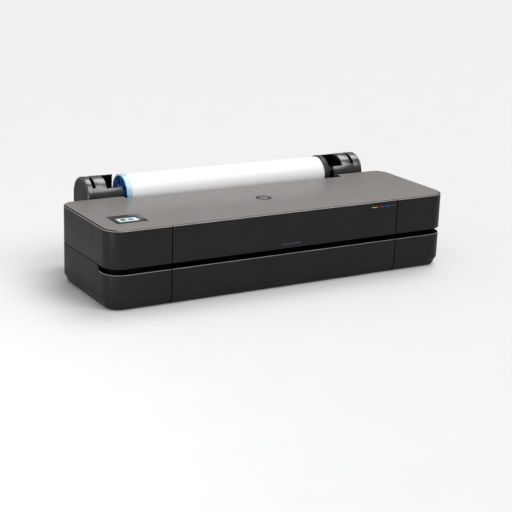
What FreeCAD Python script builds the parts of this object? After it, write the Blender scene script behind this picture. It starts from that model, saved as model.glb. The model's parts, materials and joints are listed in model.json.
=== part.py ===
import FreeCAD, Part

import Sketcher

import math
import os
import re

# Large format roll plotter. Millimetres, +Z up.
# X runs along the machine from its left end to its right end, the front faces -Y, and the
# origin is on the floor under the middle of the machine's box.
# Depths in the sheet and in the helpers below count from the front face of the body.

DIMENSIONS = {
    # whole machine
    "overall_width": 1013, "overall_depth": 440, "body_depth": 318, "corner": 45, "wall": 3,
    "foot_height": 3, "skirt_top": 24, "skirt_inset": 10,
    # split between the lower and the upper covers, and the paper slot round the front
    "slot_low": 93, "slot_high": 108, "split_low": 106.5, "slot_back": 62, "seam": 338, "seam_gap": 0.5,
    "cover_top": 203, "cover_round": 2, "lip": 1,
    # lid
    "lid_inset": 4, "lid_low": 202.5, "lid_high": 205, "lid_rear": 310, "notch_front": 283,
    "notch_left": 328, "notch_right": 347, "notch_corner": 10, "frame_low": 196.5,
    "hinge_depth": 309.5, "hinge_height": 199.5,
    # display on the lid
    "bezel_left": -457, "bezel_right": -372, "bezel_front": 61, "bezel_back": 134,
    "screen_left": -443, "screen_right": -389, "screen_front": 76.5, "screen_back": 108,
    # ink door
    "door_back": 60, "door_pivot_depth": 6, "door_pivot_height": 110.5,
    # roll and its supports
    "roll_depth": 370, "roll_height": 200, "roll_radius": 47.5, "roll_half": 305, "roll_shift": 10,
    "core_radius": 26, "arch_radius": 51.5, "pocket_radius": 46, "window_low": 226, "window_back": 392,
    "left_in": 323, "left_wall": 367, "left_groove": 397, "left_cap": 406, "left_out": 422,
    "right_in": 344, "right_wall": 376, "right_groove": 407, "right_cap": 416, "right_out": 442,
    "lift_tilt": 29, "spindle_radius": 13, "bush_radius": 15, "hub_face": 328,
    "housing_top": 172, "housing_half": 335.5, "trough_radius": 57,
    # paper drive
    "paper_half": 318, "feed_depth": 232, "feed_height": 88, "feed_radius": 8,
    "pinch_height": 101.3, "pinch_radius": 5, "outfeed_depth": 114, "outfeed_height": 90,
    "outfeed_radius": 5.5, "platen_front": 121, "platen_back": 222, "platen_top": 97,
    "pinion_depth": 207, "pinion_height": 67.4, "feed_gear_radius": 24, "pinion_radius": 8,
    "spindle_gear_radius": 20, "rewind_radius": 12, "rewind_depth": 385.8, "rewind_height": 171.5,
    # carriage
    "frame_side": 470, "rod_depth": 212, "rod_height": 145, "rod_radius": 6, "park": 400,
    "carriage_half": 54, "carriage_front": 140, "carriage_back": 228, "carriage_low": 128,
    "carriage_top": 168, "beam_front": 262, "beam_back": 285, "beam_low": 118, "beam_top": 172,
    "belt_depth": 250, "belt_low": 170, "belt_high": 176, "belt_half": 455, "pulley_radius": 7,
}

doc = FreeCAD.newDocument("plotter")
sheet = doc.addObject("Spreadsheet::Sheet", "Sizes")
for row, (alias, number) in enumerate(DIMENSIONS.items(), start=1):
    sheet.set(f"A{row}", alias)
    sheet.set(f"B{row}", str(number))
    sheet.setAlias(f"B{row}", alias)
origin = doc.addObject("App::Placement", "MachineOrigin")
doc.recompute()

WORDS = re.compile(r"\b(" + "|".join(DIMENSIONS) + r")\b")
NODES = []


def bound(text):
    """Expression with each dimension's name pointed at the sheet."""
    return WORDS.sub(r"Sizes.\1", str(text))


def bind(item, prop, text):
    """Bind one property to an expression on the dimensions."""
    item.setExpression(prop, bound(text))


def depth(text):
    """Y of a depth behind the front face."""
    return f"({text}) - overall_depth / 2"


def place(item, x, y, z):
    """Bind an object's position; y is a depth behind the front face."""
    bind(item, "Placement.Base.x", x)
    bind(item, "Placement.Base.y", depth(y))
    bind(item, "Placement.Base.z", z)


def block(name, x, y, z):
    """Box over three (low, high) spans of expressions."""
    item = doc.addObject("Part::Box", name)
    for prop, (low, high) in zip(("Length", "Width", "Height"), (x, y, z)):
        bind(item, prop, f"({high}) - ({low})")
    place(item, x[0], y[0], z[0])
    return item


AXIS_TURN = {
    "x": FreeCAD.Rotation(FreeCAD.Vector(0, 1, 0), 90),
    "y": FreeCAD.Rotation(FreeCAD.Vector(1, 0, 0), -90),
    "z": FreeCAD.Rotation(),
}


def rod(name, axis, span, centre, radius):
    """Cylinder along an axis over a (low, high) span; centre gives the other two places in x, y, z order."""
    item = doc.addObject("Part::Cylinder", name)
    item.Placement.Rotation = AXIS_TURN[axis]
    bind(item, "Radius", radius)
    bind(item, "Height", f"({span[1]}) - ({span[0]})")
    spots = list(centre)
    spots.insert("xyz".index(axis), span[0])
    place(item, *spots)
    return item


def cut(name, base, tool):
    item = doc.addObject("Part::Cut", name)
    item.Base = base
    item.Tool = tool
    return item


def common(name, base, tool):
    item = doc.addObject("Part::Common", name)
    item.Base = base
    item.Tool = tool
    return item


def fuse(name, items):
    item = doc.addObject("Part::MultiFuse", name)
    item.Shapes = items
    return item


def group(name, items):
    """Several separate solids in one node."""
    item = doc.addObject("Part::Compound", name)
    item.Links = items
    return item


def node(label, item):
    """Name a finished sub-part."""
    item.Label = label
    NODES.append(item)
    return item


def mirrored(name, item):
    """Copy of an object on the other side of the machine's middle plane."""
    twin = doc.addObject("Part::Mirroring", name)
    twin.Source = item
    twin.Normal = FreeCAD.Vector(1, 0, 0)
    return twin


def plane_of(body, role):
    return next(item for item in body.Origin.OriginFeatures if item.Role == role)


def value(text):
    """Number that an expression on the dimensions comes to now."""
    return float(origin.evalExpression(bound(text)))


def rounded_sketch(body, name, inset, height):
    """Sketch of the machine's rounded outline, drawn inset from the covers' outer face."""
    sketch = body.newObject("Sketcher::SketchObject", name)
    sketch.AttachmentSupport = [(plane_of(body, "XY_Plane"), "")]
    sketch.MapMode = "FlatFace"
    bind(sketch, "AttachmentOffset.Base.z", height)
    half = value(f"overall_width / 2 - ({inset})")
    front = value(f"({inset}) - overall_depth / 2")
    back = value(f"body_depth - ({inset}) - overall_depth / 2")
    radius = value(f"corner - ({inset})")
    vector = FreeCAD.Vector
    corners = ((-half, front, 180), (half, front, 270), (half, back, 0), (-half, back, 90))
    arcs = []
    for x, y, start in corners:
        centre = vector(x - math.copysign(radius, x), y + (radius if y == front else -radius), 0)
        circle = Part.Circle(centre, vector(0, 0, 1), radius)
        arcs.append(Part.ArcOfCircle(circle, math.radians(start), math.radians(start + 90)))
    for index, arc in enumerate(arcs):
        sketch.addGeometry(arc, False)
        sketch.addGeometry(Part.LineSegment(arc.EndPoint, arcs[(index + 1) % 4].StartPoint), False)
    for index in range(4):
        arc, line, following = 2 * index, 2 * index + 1, (2 * index + 2) % 8
        sketch.addConstraint(Sketcher.Constraint("Tangent", arc, 2, line, 1))
        sketch.addConstraint(Sketcher.Constraint("Tangent", line, 2, following, 1))
    for line, kind in ((1, "Horizontal"), (3, "Vertical"), (5, "Horizontal"), (7, "Vertical")):
        sketch.addConstraint(Sketcher.Constraint(kind, line))
    for arc in (2, 4, 6):
        sketch.addConstraint(Sketcher.Constraint("Equal", 0, arc))
    limits = (
        ("Radius", (0,), radius, f"corner - ({inset})"),
        ("DistanceX", (-1, 1, 3, 1), half, f"overall_width / 2 - ({inset})"),
        ("DistanceX", (7, 1, -1, 1), half, f"overall_width / 2 - ({inset})"),
        ("DistanceY", (1, 1, -1, 1), -front, f"overall_depth / 2 - ({inset})"),
        ("DistanceY", (-1, 1, 5, 1), back, f"body_depth - ({inset}) - overall_depth / 2"),
    )
    for kind, refs, number, text in limits:
        index = sketch.addConstraint(Sketcher.Constraint(kind, *refs, number))
        bind(sketch, f"Constraints[{index}]", text)
    return sketch


def outline(name, inset, low, high, skirt=False):
    """Solid of the machine's rounded outline between two heights, over a sloped skirt or upright."""
    body = doc.addObject("PartDesign::Body", name)
    start = "skirt_top" if skirt else low
    upper = rounded_sketch(body, name + "_outline", inset, start)
    if skirt:
        lower = rounded_sketch(body, name + "_foot_outline", f"({inset}) + skirt_inset", low)
        doc.recompute()
        loft = body.newObject("PartDesign::AdditiveLoft", name + "_skirt")
        loft.Profile = lower
        loft.Sections = [upper]
        loft.Ruled = True
    pad = body.newObject("PartDesign::Pad", name + "_pad")
    pad.Profile = upper
    bind(pad, "Length", f"({high}) - ({start})")
    return body


def round_edges(name, item, radius, test):
    """Fillet the edges of an object that pass a test on the edge."""
    doc.recompute()
    rounding = doc.addObject("Part::Fillet", name)
    rounding.Base = item
    chosen = [index for index, edge in enumerate(item.Shape.Edges, start=1) if test(edge)]
    size = value(radius)
    rounding.Edges = [(index, size, size) for index in chosen]
    return rounding


def lies_at(edge, height):
    return all(abs(vertex.Z - height) < 0.01 for vertex in edge.Vertexes)


def everywhere(x, z):
    """Box of the whole depth over spans of x and z."""
    return (x, ("-1", "overall_depth + 1"), z)


def lower_covers():
    """Left, right and front pieces of the lower shell, below the paper slot."""
    outer = outline("LowerOuter", "0", "foot_height", "split_low", skirt=True)
    inner = outline("LowerInner", "wall", "foot_height", "split_low", skirt=True)
    shell = cut("LowerShell", outer, inner)
    slot = block("LowerSlot", ("-overall_width", "overall_width"), ("-1", "slot_back"),
                 ("slot_low", "slot_high"))
    slotted = cut("LowerSlotted", shell, slot)
    left_zone = block("LowerLeftZone", ("-overall_width", "-seam - seam_gap"),
                      ("-1", "overall_depth"), ("0", "slot_high"))
    left = common("LowerLeft", slotted, left_zone)
    front_height = value("slot_low")
    front_of = value("wall / 2 - overall_depth / 2")

    def outer_rim(edge):
        box = edge.BoundBox
        return lies_at(edge, front_height) and box.YMin < front_of and not is_inner(edge)

    left = node("lower_left_cover", round_edges("LowerLeftRim", left, "cover_round / 2", outer_rim))
    node("lower_right_cover", mirrored("LowerRight", left))
    front_zone = block("LowerFrontZone", ("-seam + seam_gap", "seam - seam_gap"),
                       ("-1", "skirt_inset + wall + 2"), ("0", "slot_high"))
    front = common("LowerFront", slotted, front_zone)
    node("lower_front_panel", round_edges("LowerFrontRim", front, "cover_round / 2", outer_rim))


def is_inner(edge):
    """True for an edge on the inner face of a cover's wall, or across the wall."""
    inner_front = value("wall - overall_depth / 2")
    across = edge.Length < value("wall") * 1.01
    return across or edge.BoundBox.YMin > inner_front - 0.01


def upper_shell():
    outer = outline("UpperOuter", "0", "slot_high", "cover_top")
    top = value("cover_top")
    rounded = round_edges("UpperRound", outer, "cover_round", lambda edge: lies_at(edge, top))
    inner = outline("UpperInner", "wall", "slot_high - 1", "cover_top + 1")
    shell = cut("UpperShell", rounded, inner)
    thin = outline("LidReliefOutline", "lip", "frame_low - 4", "cover_top + 1")
    rear_zone = block("LidReliefZone", ("-overall_width", "overall_width"), ("lid_rear - 8", "overall_depth"),
                      ("frame_low - 4", "cover_top + 1"))
    relief = common("LidRelief", thin, rear_zone)
    return cut("UpperRelieved", shell, relief)


def hinge_lug(name, x):
    """Ear that holds a lid pin, standing off the rear wall."""
    round_part = rod(name + "Eye", "x", x, ("hinge_depth", "hinge_height"), "2.8")
    stem = block(name + "Stem", x, ("hinge_depth - 2.8", "hinge_depth + 2.8"),
                 ("hinge_height - 9", "hinge_height"))
    arm = block(name + "Arm", x, ("hinge_depth - 2.8", "body_depth - 2"),
                ("hinge_height - 12", "hinge_height - 8"))
    hole = rod(name + "Hole", "x", (f"({x[0]}) - 1", f"({x[1]}) + 1"),
               ("hinge_depth", "hinge_height"), "1.5")
    return cut(name, fuse(name + "Solid", [round_part, stem, arm]), hole)


def upper_covers():
    """Left and right pieces of the upper shell, the lid's front panel and the ink door."""
    shell = upper_shell()
    left_zone = block("UpperLeftZone", *everywhere(("-overall_width", "-seam - seam_gap"), ("0", "300")))
    left = common("UpperLeftWall", shell, left_zone)
    lugs = [hinge_lug("LeftLugA", ("-346", "-341")), hinge_lug("LeftLugB", ("-358", "-353"))]
    node("upper_left_cover", fuse("UpperLeft", [left] + lugs))
    right_zone = block("UpperRightZone", ("seam + seam_gap", "overall_width"),
                       ("door_back + 2 * seam_gap", "overall_depth"), ("0", "300"))
    right = common("UpperRightWall", shell, right_zone)
    lugs = [hinge_lug("RightLugA", ("341", "346")), hinge_lug("RightLugB", ("353", "358"))]
    node("upper_right_cover", fuse("UpperRight", [right] + lugs))
    front_zone = block("LidFrontZone", ("-seam + seam_gap", "seam - seam_gap"),
                       ("-1", "wall + 1"), ("0", "300"))
    front = common("LidFrontWall", shell, front_zone)
    flange = block("LidFrontFlange", ("-seam + 8", "seam - 8"), ("wall", "wall + 4"),
                   ("frame_low - 8", "lid_low"))
    light_hole = block("LightHole", ("-24", "34"), ("-1", "wall + 1"), ("117.5", "120.5"))
    node("main_cover_front", cut("LidFront", fuse("LidFrontSolid", [front, flange]), light_hole))
    door_zone = block("DoorZone", ("seam + seam_gap", "overall_width"), ("-1", "door_back"), ("0", "300"))
    door = common("DoorWall", shell, door_zone)
    pivot = ("door_pivot_depth", "door_pivot_height")
    ears = []
    for index, x in enumerate(((352, 357), (440, 445))):
        ears.append(rod(f"DoorEar{index}", "x", x, pivot, "3.2"))
        ears.append(block(f"DoorEarFoot{index}", x, ("wall - 1", "door_pivot_depth"),
                          ("door_pivot_height - 2.4", "door_pivot_height + 3.2")))
    hole = rod("DoorHole", "x", ("340", "460"), pivot, "1.55")
    low_trim = block("DoorTrim", ("seam", "overall_width"), ("-1", "corner * 2"), ("90", "slot_high + 0.3"))
    door = cut("DoorLow", cut("DoorBored", fuse("DoorSolid", [door] + ears), hole), low_trim)
    node("ink_door", door)


def base():
    outer = outline("PanOuter", "skirt_inset + wall + 1", "foot_height", "foot_height + 12")
    inner = outline("PanInner", "skirt_inset + wall + 3", "foot_height + 2", "foot_height + 13")
    pan = cut("PanShell", outer, inner)
    screws = []
    holes = []
    for index, (x, y) in enumerate(((-430, 240), (430, 240), (-250, 30), (250, 30), (-250, 285), (250, 285))):
        head = rod(f"ScrewHead{index}", "z", ("foot_height - 2", "foot_height"), (x, y), "4")
        shank = rod(f"ScrewShank{index}", "z", ("foot_height - 1", "foot_height + 9"), (x, y), "2")
        screws.append(fuse(f"Screw{index}", [head, shank]))
        holes.append(rod(f"ScrewHole{index}", "z", ("foot_height - 1", "foot_height + 3"), (x, y), "2.1"))
    node("base_pan", cut("Pan", pan, fuse("PanHoles", holes)))
    node("cover_screws", group("Screws", screws))
    places = ((-440, 45), (440, 45), (0, 45), (-380, 400), (380, 400), (0, 400))
    feet = [rod(f"Foot{index}", "z", ("0", "foot_height"), spot, "13") for index, spot in enumerate(places)]
    node("rubber_feet", group("Feet", feet))


def lid():
    """Top plate, its frame, the display and the light bar."""
    plate = outline("PlateOutline", "lid_inset", "lid_low", "lid_high")
    rear = block("PlateRear", ("-overall_width", "overall_width"), ("lid_rear", "overall_depth"),
                 ("lid_low - 1", "lid_high + 1"))
    notch = block("PlateNotch", ("-notch_left", "notch_right"), ("notch_front", "overall_depth"),
                  ("lid_low - 1", "lid_high + 1"))
    doc.recompute()
    front = value("notch_front - overall_depth / 2")
    notch = round_edges("PlateNotchRound", notch, "notch_corner", lambda edge: (
        abs(edge.BoundBox.ZLength - value("lid_high - lid_low + 2")) < 0.01
        and abs(edge.BoundBox.YMin - front) < 0.01))
    recess = block("BezelRecess", ("bezel_left", "bezel_right"), ("bezel_front", "bezel_back"),
                   ("lid_low - 1", "lid_high + 1"))
    plate = cut("PlateCutRear", plate, rear)
    plate = cut("PlateCutNotch", plate, notch)
    node("top_plate", cut("Plate", plate, recess))

    bezel = block("BezelBlock", ("bezel_left + 0.3", "bezel_right - 0.3"),
                  ("bezel_front + 0.3", "bezel_back - 0.3"), ("frame_low + 1", "lid_high"))
    window = block("BezelWindow", ("screen_left", "screen_right"), ("screen_front", "screen_back"),
                   ("lid_low", "lid_high + 1"))
    node("control_bezel", cut("Bezel", bezel, window))
    node("display_screen", block("Screen", ("screen_left", "screen_right"),
                                 ("screen_front", "screen_back"), ("lid_low", "lid_high - 0.3")))
    node("status_light_bar", block("LightBar", ("-24", "34"), ("0.2", "wall"), ("117.5", "120.5")))

    ring = cut("FrameRing", outline("FrameOuter", "lid_inset + 4", "frame_low", "lid_low"),
               outline("FrameInner", "lid_inset + 16", "frame_low - 1", "lid_low + 1"))
    back_clear = block("FrameBackClear", ("-overall_width", "overall_width"),
                       ("notch_front - 3", "overall_depth"), ("0", "300"))
    ring = cut("FrameFront", ring, back_clear)
    rail = block("FrameRail", ("-overall_width / 2 + 9", "overall_width / 2 - 9"),
                 ("notch_front - 15", "notch_front - 3"), ("frame_low", "lid_low"))
    front_rail = block("FrameFrontRail", ("-seam + 8", "seam - 8"), ("wall + 4", "lid_inset + 5"),
                       ("frame_low", "lid_low"))
    ribs = []
    for index, x in enumerate((-349, -240, -120, 0, 120, 240, 349)):
        ribs.append(block(f"FrameRib{index}", (x - 2, x + 2), ("lid_inset + 6", "notch_front - 10"),
                          ("frame_low + 2", "lid_low")))
    arms = []
    for side in (-1, 1):
        x = (349.5 * side - 2.5, 349.5 * side + 2.5)
        arms.append(block(f"FrameArm{side + 1}", x, ("notch_front - 10", "hinge_depth"),
                          ("hinge_height - 3", "lid_low")))
        arms.append(rod(f"FrameEye{side + 1}", "x", x, ("hinge_depth", "hinge_height"), "3"))
    bore = rod("FrameBore", "x", ("-400", "400"), ("hinge_depth", "hinge_height"), "1.55")
    frame = fuse("FrameSolid", [ring, rail, front_rail] + ribs + arms)
    bezel_clear = block("FrameBezelClear", ("bezel_left", "bezel_right"), ("bezel_front", "bezel_back"),
                        ("frame_low", "lid_high"))
    node("main_cover_frame", cut("Frame", cut("FrameBored", frame, bore), bezel_clear))

    pins = []
    for index, x in enumerate(((-358, -341), (341, 358))):
        pins.append(rod(f"LidPin{index}", "x", x, ("hinge_depth", "hinge_height"), "1.5"))
    pins.append(rod("DoorPin", "x", ("346", "452"), ("door_pivot_depth", "door_pivot_height"), "1.5"))
    node("cover_hinge_pins", group("Pins", pins))


def arch(name, x, radius):
    """Upright slab with a half-round top about the roll's axis."""
    top = rod(name + "Top", "x", x, ("roll_depth", "roll_height"), radius)
    leg = block(name + "Leg", x, (f"roll_depth - ({radius})", f"roll_depth + ({radius})"),
                ("foot_height", "roll_height"))
    return fuse(name, [top, leg])


def side_span(side, low, high):
    """Span of x between two distances from the middle plane, on the left or right side."""
    return (low, high) if side == "right" else (f"-({high})", f"-({low})")


def roll_support(side):
    """Arched support on one side, with the window and pocket that take the spindle's end."""
    def span(low, high):
        return side_span(side, low, high)

    axis = ("roll_depth", "roll_height")
    name = side.capitalize()
    wall, cap = f"{side}_wall", f"{side}_cap"
    body = arch(name + "ArchBody", span(f"{side}_in", cap), "arch_radius")
    trim = block(name + "ArchTrim", span("300", "housing_half + 0.5"), ("0", "overall_depth + 1"),
                 ("0", "housing_top + 4"))
    window = block(name + "ArchWindow", span("300", wall), ("roll_depth - 60", "window_back"),
                   ("window_low", "roll_height + 60"))
    pocket = common(name + "ArchPocket",
                    rod(name + "PocketRound", "x", span("300", f"{wall} - 4"), axis, "pocket_radius"),
                    block(name + "PocketFront", span("299", wall), ("roll_depth - 60", "window_back"),
                          ("housing_top - 60", "roll_height + 60")))
    gear_pocket = rod(name + "ArchGearPocket", "x", span("300", f"{wall} - 4"),
                      ("rewind_depth", "rewind_height"), "rewind_radius + 2")
    hollow = block(name + "ArchHollow", span("housing_half + 12", f"{cap} + 1"),
                   ("roll_depth - arch_radius + 3", "roll_depth + arch_radius - 3"),
                   ("foot_height - 1", "roll_height - 60"))
    ring = cut(name + "GrooveRing",
               rod(name + "GrooveOuter", "x", span(f"{side}_groove", cap), axis, "arch_radius + 1"),
               rod(name + "GrooveInner", "x", span("380", f"{cap} + 1"), axis, "arch_radius - 7"))
    zone = block(name + "GrooveZone", span(f"{side}_groove", cap), ("roll_depth - 60", "roll_depth + 60"),
                 ("window_low + 3", "roll_height + 60"))
    groove = common(name + "Groove", ring, zone)
    removed = fuse(name + "ArchRemoved", [trim, window, pocket, gear_pocket, hollow, groove])
    node(side + "_roll_support", cut(name + "Support", body, removed))


def end_cap(side):
    """Outer end of one support, hollow, with a rounded rim."""
    name = side.capitalize() + "Cap"
    outer = f"{side}_out"
    cap = arch(name, side_span(side, f"{side}_cap", outer), "arch_radius")
    hollow = block(name + "Hollow", side_span(side, f"{side}_cap - 1", f"{outer} - 3"),
                   ("roll_depth - arch_radius + 3", "roll_depth + arch_radius - 3"),
                   ("foot_height - 1", "roll_height"))
    doc.recompute()
    face, foot = value(outer), value("foot_height + 1")
    cap = round_edges(name + "Rim", cap, "2.5", lambda edge: (
        abs(abs(edge.BoundBox.XMin) - face) < 0.01 and edge.BoundBox.ZMax > foot
        and edge.BoundBox.XLength < 0.01))
    return cut(name + "Hollowed", cap, hollow)


def cradle(side):
    """Open ring that holds a spindle bush, its mouth on the line along which the spindle lifts out."""
    name = side.capitalize() + "Cradle"
    axis = ("roll_depth", "roll_height")
    wall = f"{side}_wall - 4"
    ring = rod(name + "Ring", "x", side_span(side, f"{wall} - 9", wall), axis, "bush_radius + 6")
    bore = rod(name + "Bore", "x", side_span(side, f"{wall} - 10", f"{wall} + 1"), axis, "bush_radius + 0.4")
    mouth = doc.addObject("Part::Box", name + "Mouth")
    mouth.Placement.Rotation = FreeCAD.Rotation(FreeCAD.Vector(1, 0, 0), value("lift_tilt"))
    bind(mouth, "Length", "12")
    bind(mouth, "Width", "2 * bush_radius + 0.8")
    bind(mouth, "Height", "40")
    place(mouth, side_span(side, f"{wall} - 10", f"{wall} + 2")[0],
          "roll_depth - (bush_radius + 0.4) * cos(lift_tilt * 1 deg)",
          "roll_height - (bush_radius + 0.4) * sin(lift_tilt * 1 deg)")
    return cut(name, cut(name + "Bored", ring, bore), mouth)


def roll_supports():
    """Both arched supports with their end caps and the cradles for the spindle's bushes."""
    sides = ("left", "right")
    for side in sides:
        roll_support(side)
    node("support_end_caps", group("Caps", [end_cap(side) for side in sides]))
    node("spindle_cradles", group("Cradles", [cradle(side) for side in sides]))


def rear_housing():
    """Moulded back of the machine with the trough under the roll and the paper's way in."""
    half = ("-housing_half", "housing_half")
    outer = block("HousingOuter", half, ("body_depth - 4", "overall_depth"), ("foot_height", "housing_top"))
    lip = block("HousingLip", half, ("body_depth - 4", "body_depth"), ("housing_top", "roll_height - 6"))
    inner = block("HousingInner", ("-housing_half + wall", "housing_half - wall"),
                  ("body_depth - 4 + wall", "overall_depth - wall"),
                  ("foot_height + wall", "housing_top - wall"))
    axis = ("roll_depth", "roll_height")
    full = ("-housing_half - 1", "right_in + 1")
    cheek = block("HousingCheek", ("housing_half - wall", "right_in - 0.5"),
                  ("body_depth + 0.5", "overall_depth"), ("foot_height", "housing_top"))
    drum = rod("TroughSkin", "x", half, axis, "trough_radius + wall")
    drum_zone = block("TroughZone", half, ("body_depth - 4", "overall_depth"),
                      ("foot_height", "housing_top"))
    skin = common("TroughSkinLow", drum, drum_zone)
    trough = rod("Trough", "x", full, axis, "trough_radius")
    shell = cut("HousingShell", fuse("HousingBox", [outer, lip]), inner)
    housing = cut("HousingTrough", fuse("HousingWithSkin", [shell, skin, cheek]), trough)
    socket = block("HousingSocket", ("-300", "-220"), ("overall_depth - wall - 1", "overall_depth + 1"),
                   ("24", "56"))
    button = rod("HousingButtonHole", "y", ("overall_depth - wall - 1", "overall_depth + 1"),
                 ("-190", "40"), "7")
    ramp = ramp_sheet()
    solid = fuse("HousingSolid", [housing, ramp])
    node("rear_housing", cut("Housing", solid, fuse("HousingOpenings", [socket, button])))

    block_body = block("ConnectorBody", ("-300", "-220"), ("overall_depth - 22", "overall_depth"),
                       ("24", "56"))
    inlet = block("ConnectorInlet", ("-294", "-266"), ("overall_depth - 18", "overall_depth + 1"),
                  ("30", "50"))
    network = block("ConnectorNetwork", ("-258", "-243"), ("overall_depth - 14", "overall_depth + 1"),
                    ("33", "47"))
    usb = block("ConnectorData", ("-237", "-225"), ("overall_depth - 12", "overall_depth + 1"),
                ("34", "46"))
    blades = [rod(f"Blade{index}", "y", ("overall_depth - 19", "overall_depth - 5"), (x, z), "1.6")
              for index, (x, z) in enumerate(((-287, 38), (-273, 38), (-280, 43)))]
    body = cut("ConnectorsCut", block_body, fuse("ConnectorsOpenings", [inlet, network, usb]))
    node("rear_connectors", fuse("Connectors", [body] + blades))
    cap = rod("ButtonCap", "y", ("overall_depth - 9", "overall_depth"), ("-190", "40"), "6.6")
    node("power_button", cap)


def ramp_sheet():
    """Sheet that leads the paper from the roll under the carriage beam, as a thin folded plate."""
    ramp = doc.addObject("Part::Feature", "Ramp")
    front = -value("overall_depth / 2")
    half = value("paper_half")
    profile = ((314.5, 190), (304, 112), (296, 102), (248, 93.5), (248, 91.5), (297, 100), (306, 110.5),
               (316.5, 178), (316.5, 190))
    points = [FreeCAD.Vector(-half, front + y, z) for y, z in profile]
    face = Part.Face(Part.makePolygon(points + points[:1]))
    ramp.Shape = face.extrude(FreeCAD.Vector(2 * half, 0, 0))
    return ramp


def gear(name, x, y, z, radius, teeth, tooth):
    """Spur gear about X: a disc with blocks for teeth inside its outer radius."""
    disc = rod(name + "Disc", "x", x, (y, z), f"({radius}) - ({tooth})")
    blocks = [disc]
    for index in range(teeth):
        angle = 360.0 * index / teeth
        tooth_box = doc.addObject("Part::Box", f"{name}Tooth{index}")
        width = value(f"({radius}) * {math.pi} / {teeth}") * 0.9
        bind(tooth_box, "Length", f"({x[1]}) - ({x[0]})")
        tooth_box.Width = width
        bind(tooth_box, "Height", f"({tooth}) + 1")
        turn = math.radians(angle)
        inner = value(f"({radius}) - ({tooth}) - 1")
        centre = FreeCAD.Vector(value(x[0]), value(depth(y)), value(z))
        corner = FreeCAD.Vector(0, -width / 2 * math.cos(turn) - inner * math.sin(turn),
                                -width / 2 * math.sin(turn) + inner * math.cos(turn))
        tooth_box.Placement = FreeCAD.Placement(centre + corner,
                                                FreeCAD.Rotation(FreeCAD.Vector(1, 0, 0), angle))
        blocks.append(tooth_box)
    rim = rod(name + "Limit", "x", x, (y, z), radius)
    return common(name, fuse(name + "Teeth", blocks), rim)


def roll():
    """Spindle with its bushes and gears, and the paper roll between its two hubs."""
    axis = ("roll_depth", "roll_height")
    bushes = []
    for side in ("left", "right"):
        name, wall = side.capitalize() + "Bush", f"{side}_wall - 4"
        sleeve = rod(name + "Body", "x", side_span(side, f"{wall} - 9", f"{wall} - 0.5"), axis, "bush_radius")
        bore = rod(name + "Bore", "x", side_span(side, f"{wall} - 10", f"{wall} + 1"), axis,
                   "spindle_radius + 0.05")
        bushes.append(cut(name, sleeve, bore))
    node("spindle_bushes", group("Bushes", bushes))
    tube = rod("SpindleTube", "x", ("-left_wall + 5", "right_wall - 5"), axis, "spindle_radius")
    bore = rod("SpindleBore", "x", ("-left_wall", "right_wall"), axis, "spindle_radius - 2.5")
    node("spindle_shaft", cut("Spindle", tube, bore))
    width = ("roll_shift - roll_half", "roll_shift + roll_half")
    past = ("roll_shift - roll_half - 1", "roll_shift + roll_half + 1")
    core_skin = rod("CoreOuter", "x", width, axis, "core_radius")
    core_bore = rod("CoreBore", "x", past, axis, "core_radius - 2.5")
    node("roll_core", cut("Core", core_skin, core_bore))
    paper = rod("PaperOuter", "x", width, axis, "roll_radius")
    paper_bore = rod("PaperBore", "x", past, axis, "core_radius")
    node("paper_roll", cut("Paper", paper, paper_bore))

    def hub(name, sign, flange_radius):
        def along(low, high):
            ends = sorted(value("roll_shift") + sign * value(place) for place in (low, high))
            return (ends[0], ends[1])
        ring = rod(name + "Ring", "x", along("roll_half", "roll_half + 15"), axis, flange_radius)
        dish = rod(name + "Dish", "x", along("roll_half + 9", "roll_half + 16"), axis, f"({flange_radius}) - 4")
        boss = rod(name + "Boss", "x", along("roll_half + 8", "hub_face"), axis, "20")
        ribs = []
        for index in range(8):
            rib = doc.addObject("Part::Box", f"{name}Rib{index}")
            angle = 45 * index
            turn = math.radians(angle)
            bind(rib, "Length", "6")
            bind(rib, "Width", "2.4")
            bind(rib, "Height", f"({flange_radius}) - 20")
            corner = FreeCAD.Vector(along("roll_half + 8", "roll_half + 14")[0],
                                    value(depth("roll_depth")) - 1.2 * math.cos(turn) - 18 * math.sin(turn),
                                    value("roll_height") - 1.2 * math.sin(turn) + 18 * math.cos(turn))
            rib.Placement = FreeCAD.Placement(corner, FreeCAD.Rotation(FreeCAD.Vector(1, 0, 0), angle))
            ribs.append(rib)
        plug = rod(name + "Plug", "x", along("roll_half - 30", "roll_half + 1"), axis, "core_radius - 2.5")
        shaft_bore = rod(name + "Bore", "x", along("roll_half - 31", "hub_face + 1"), axis, "spindle_radius")
        solid = fuse(name + "Solid", [cut(name + "Dished", ring, dish), boss, plug] + ribs)
        return cut(name, solid, shaft_bore)

    node("blue_hub", hub("BlueHub", -1, "roll_radius + 2"))
    node("black_hub", hub("BlackHub", 1, "roll_radius + 3.5"))
    face = ("right_in + 6", "right_in + 14")
    wheel = gear("SpindleGearWheel", face, "roll_depth", "roll_height", "spindle_gear_radius", 20, "3")
    gear_bore = rod("SpindleGearBore", "x", ("right_in", "right_in + 20"), axis, "spindle_radius")
    node("spindle_gear", cut("SpindleGear", wheel, gear_bore))
    node("rewind_gear", gear("RewindGear", face, "rewind_depth", "rewind_height", "rewind_radius", 12, "3"))


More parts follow.
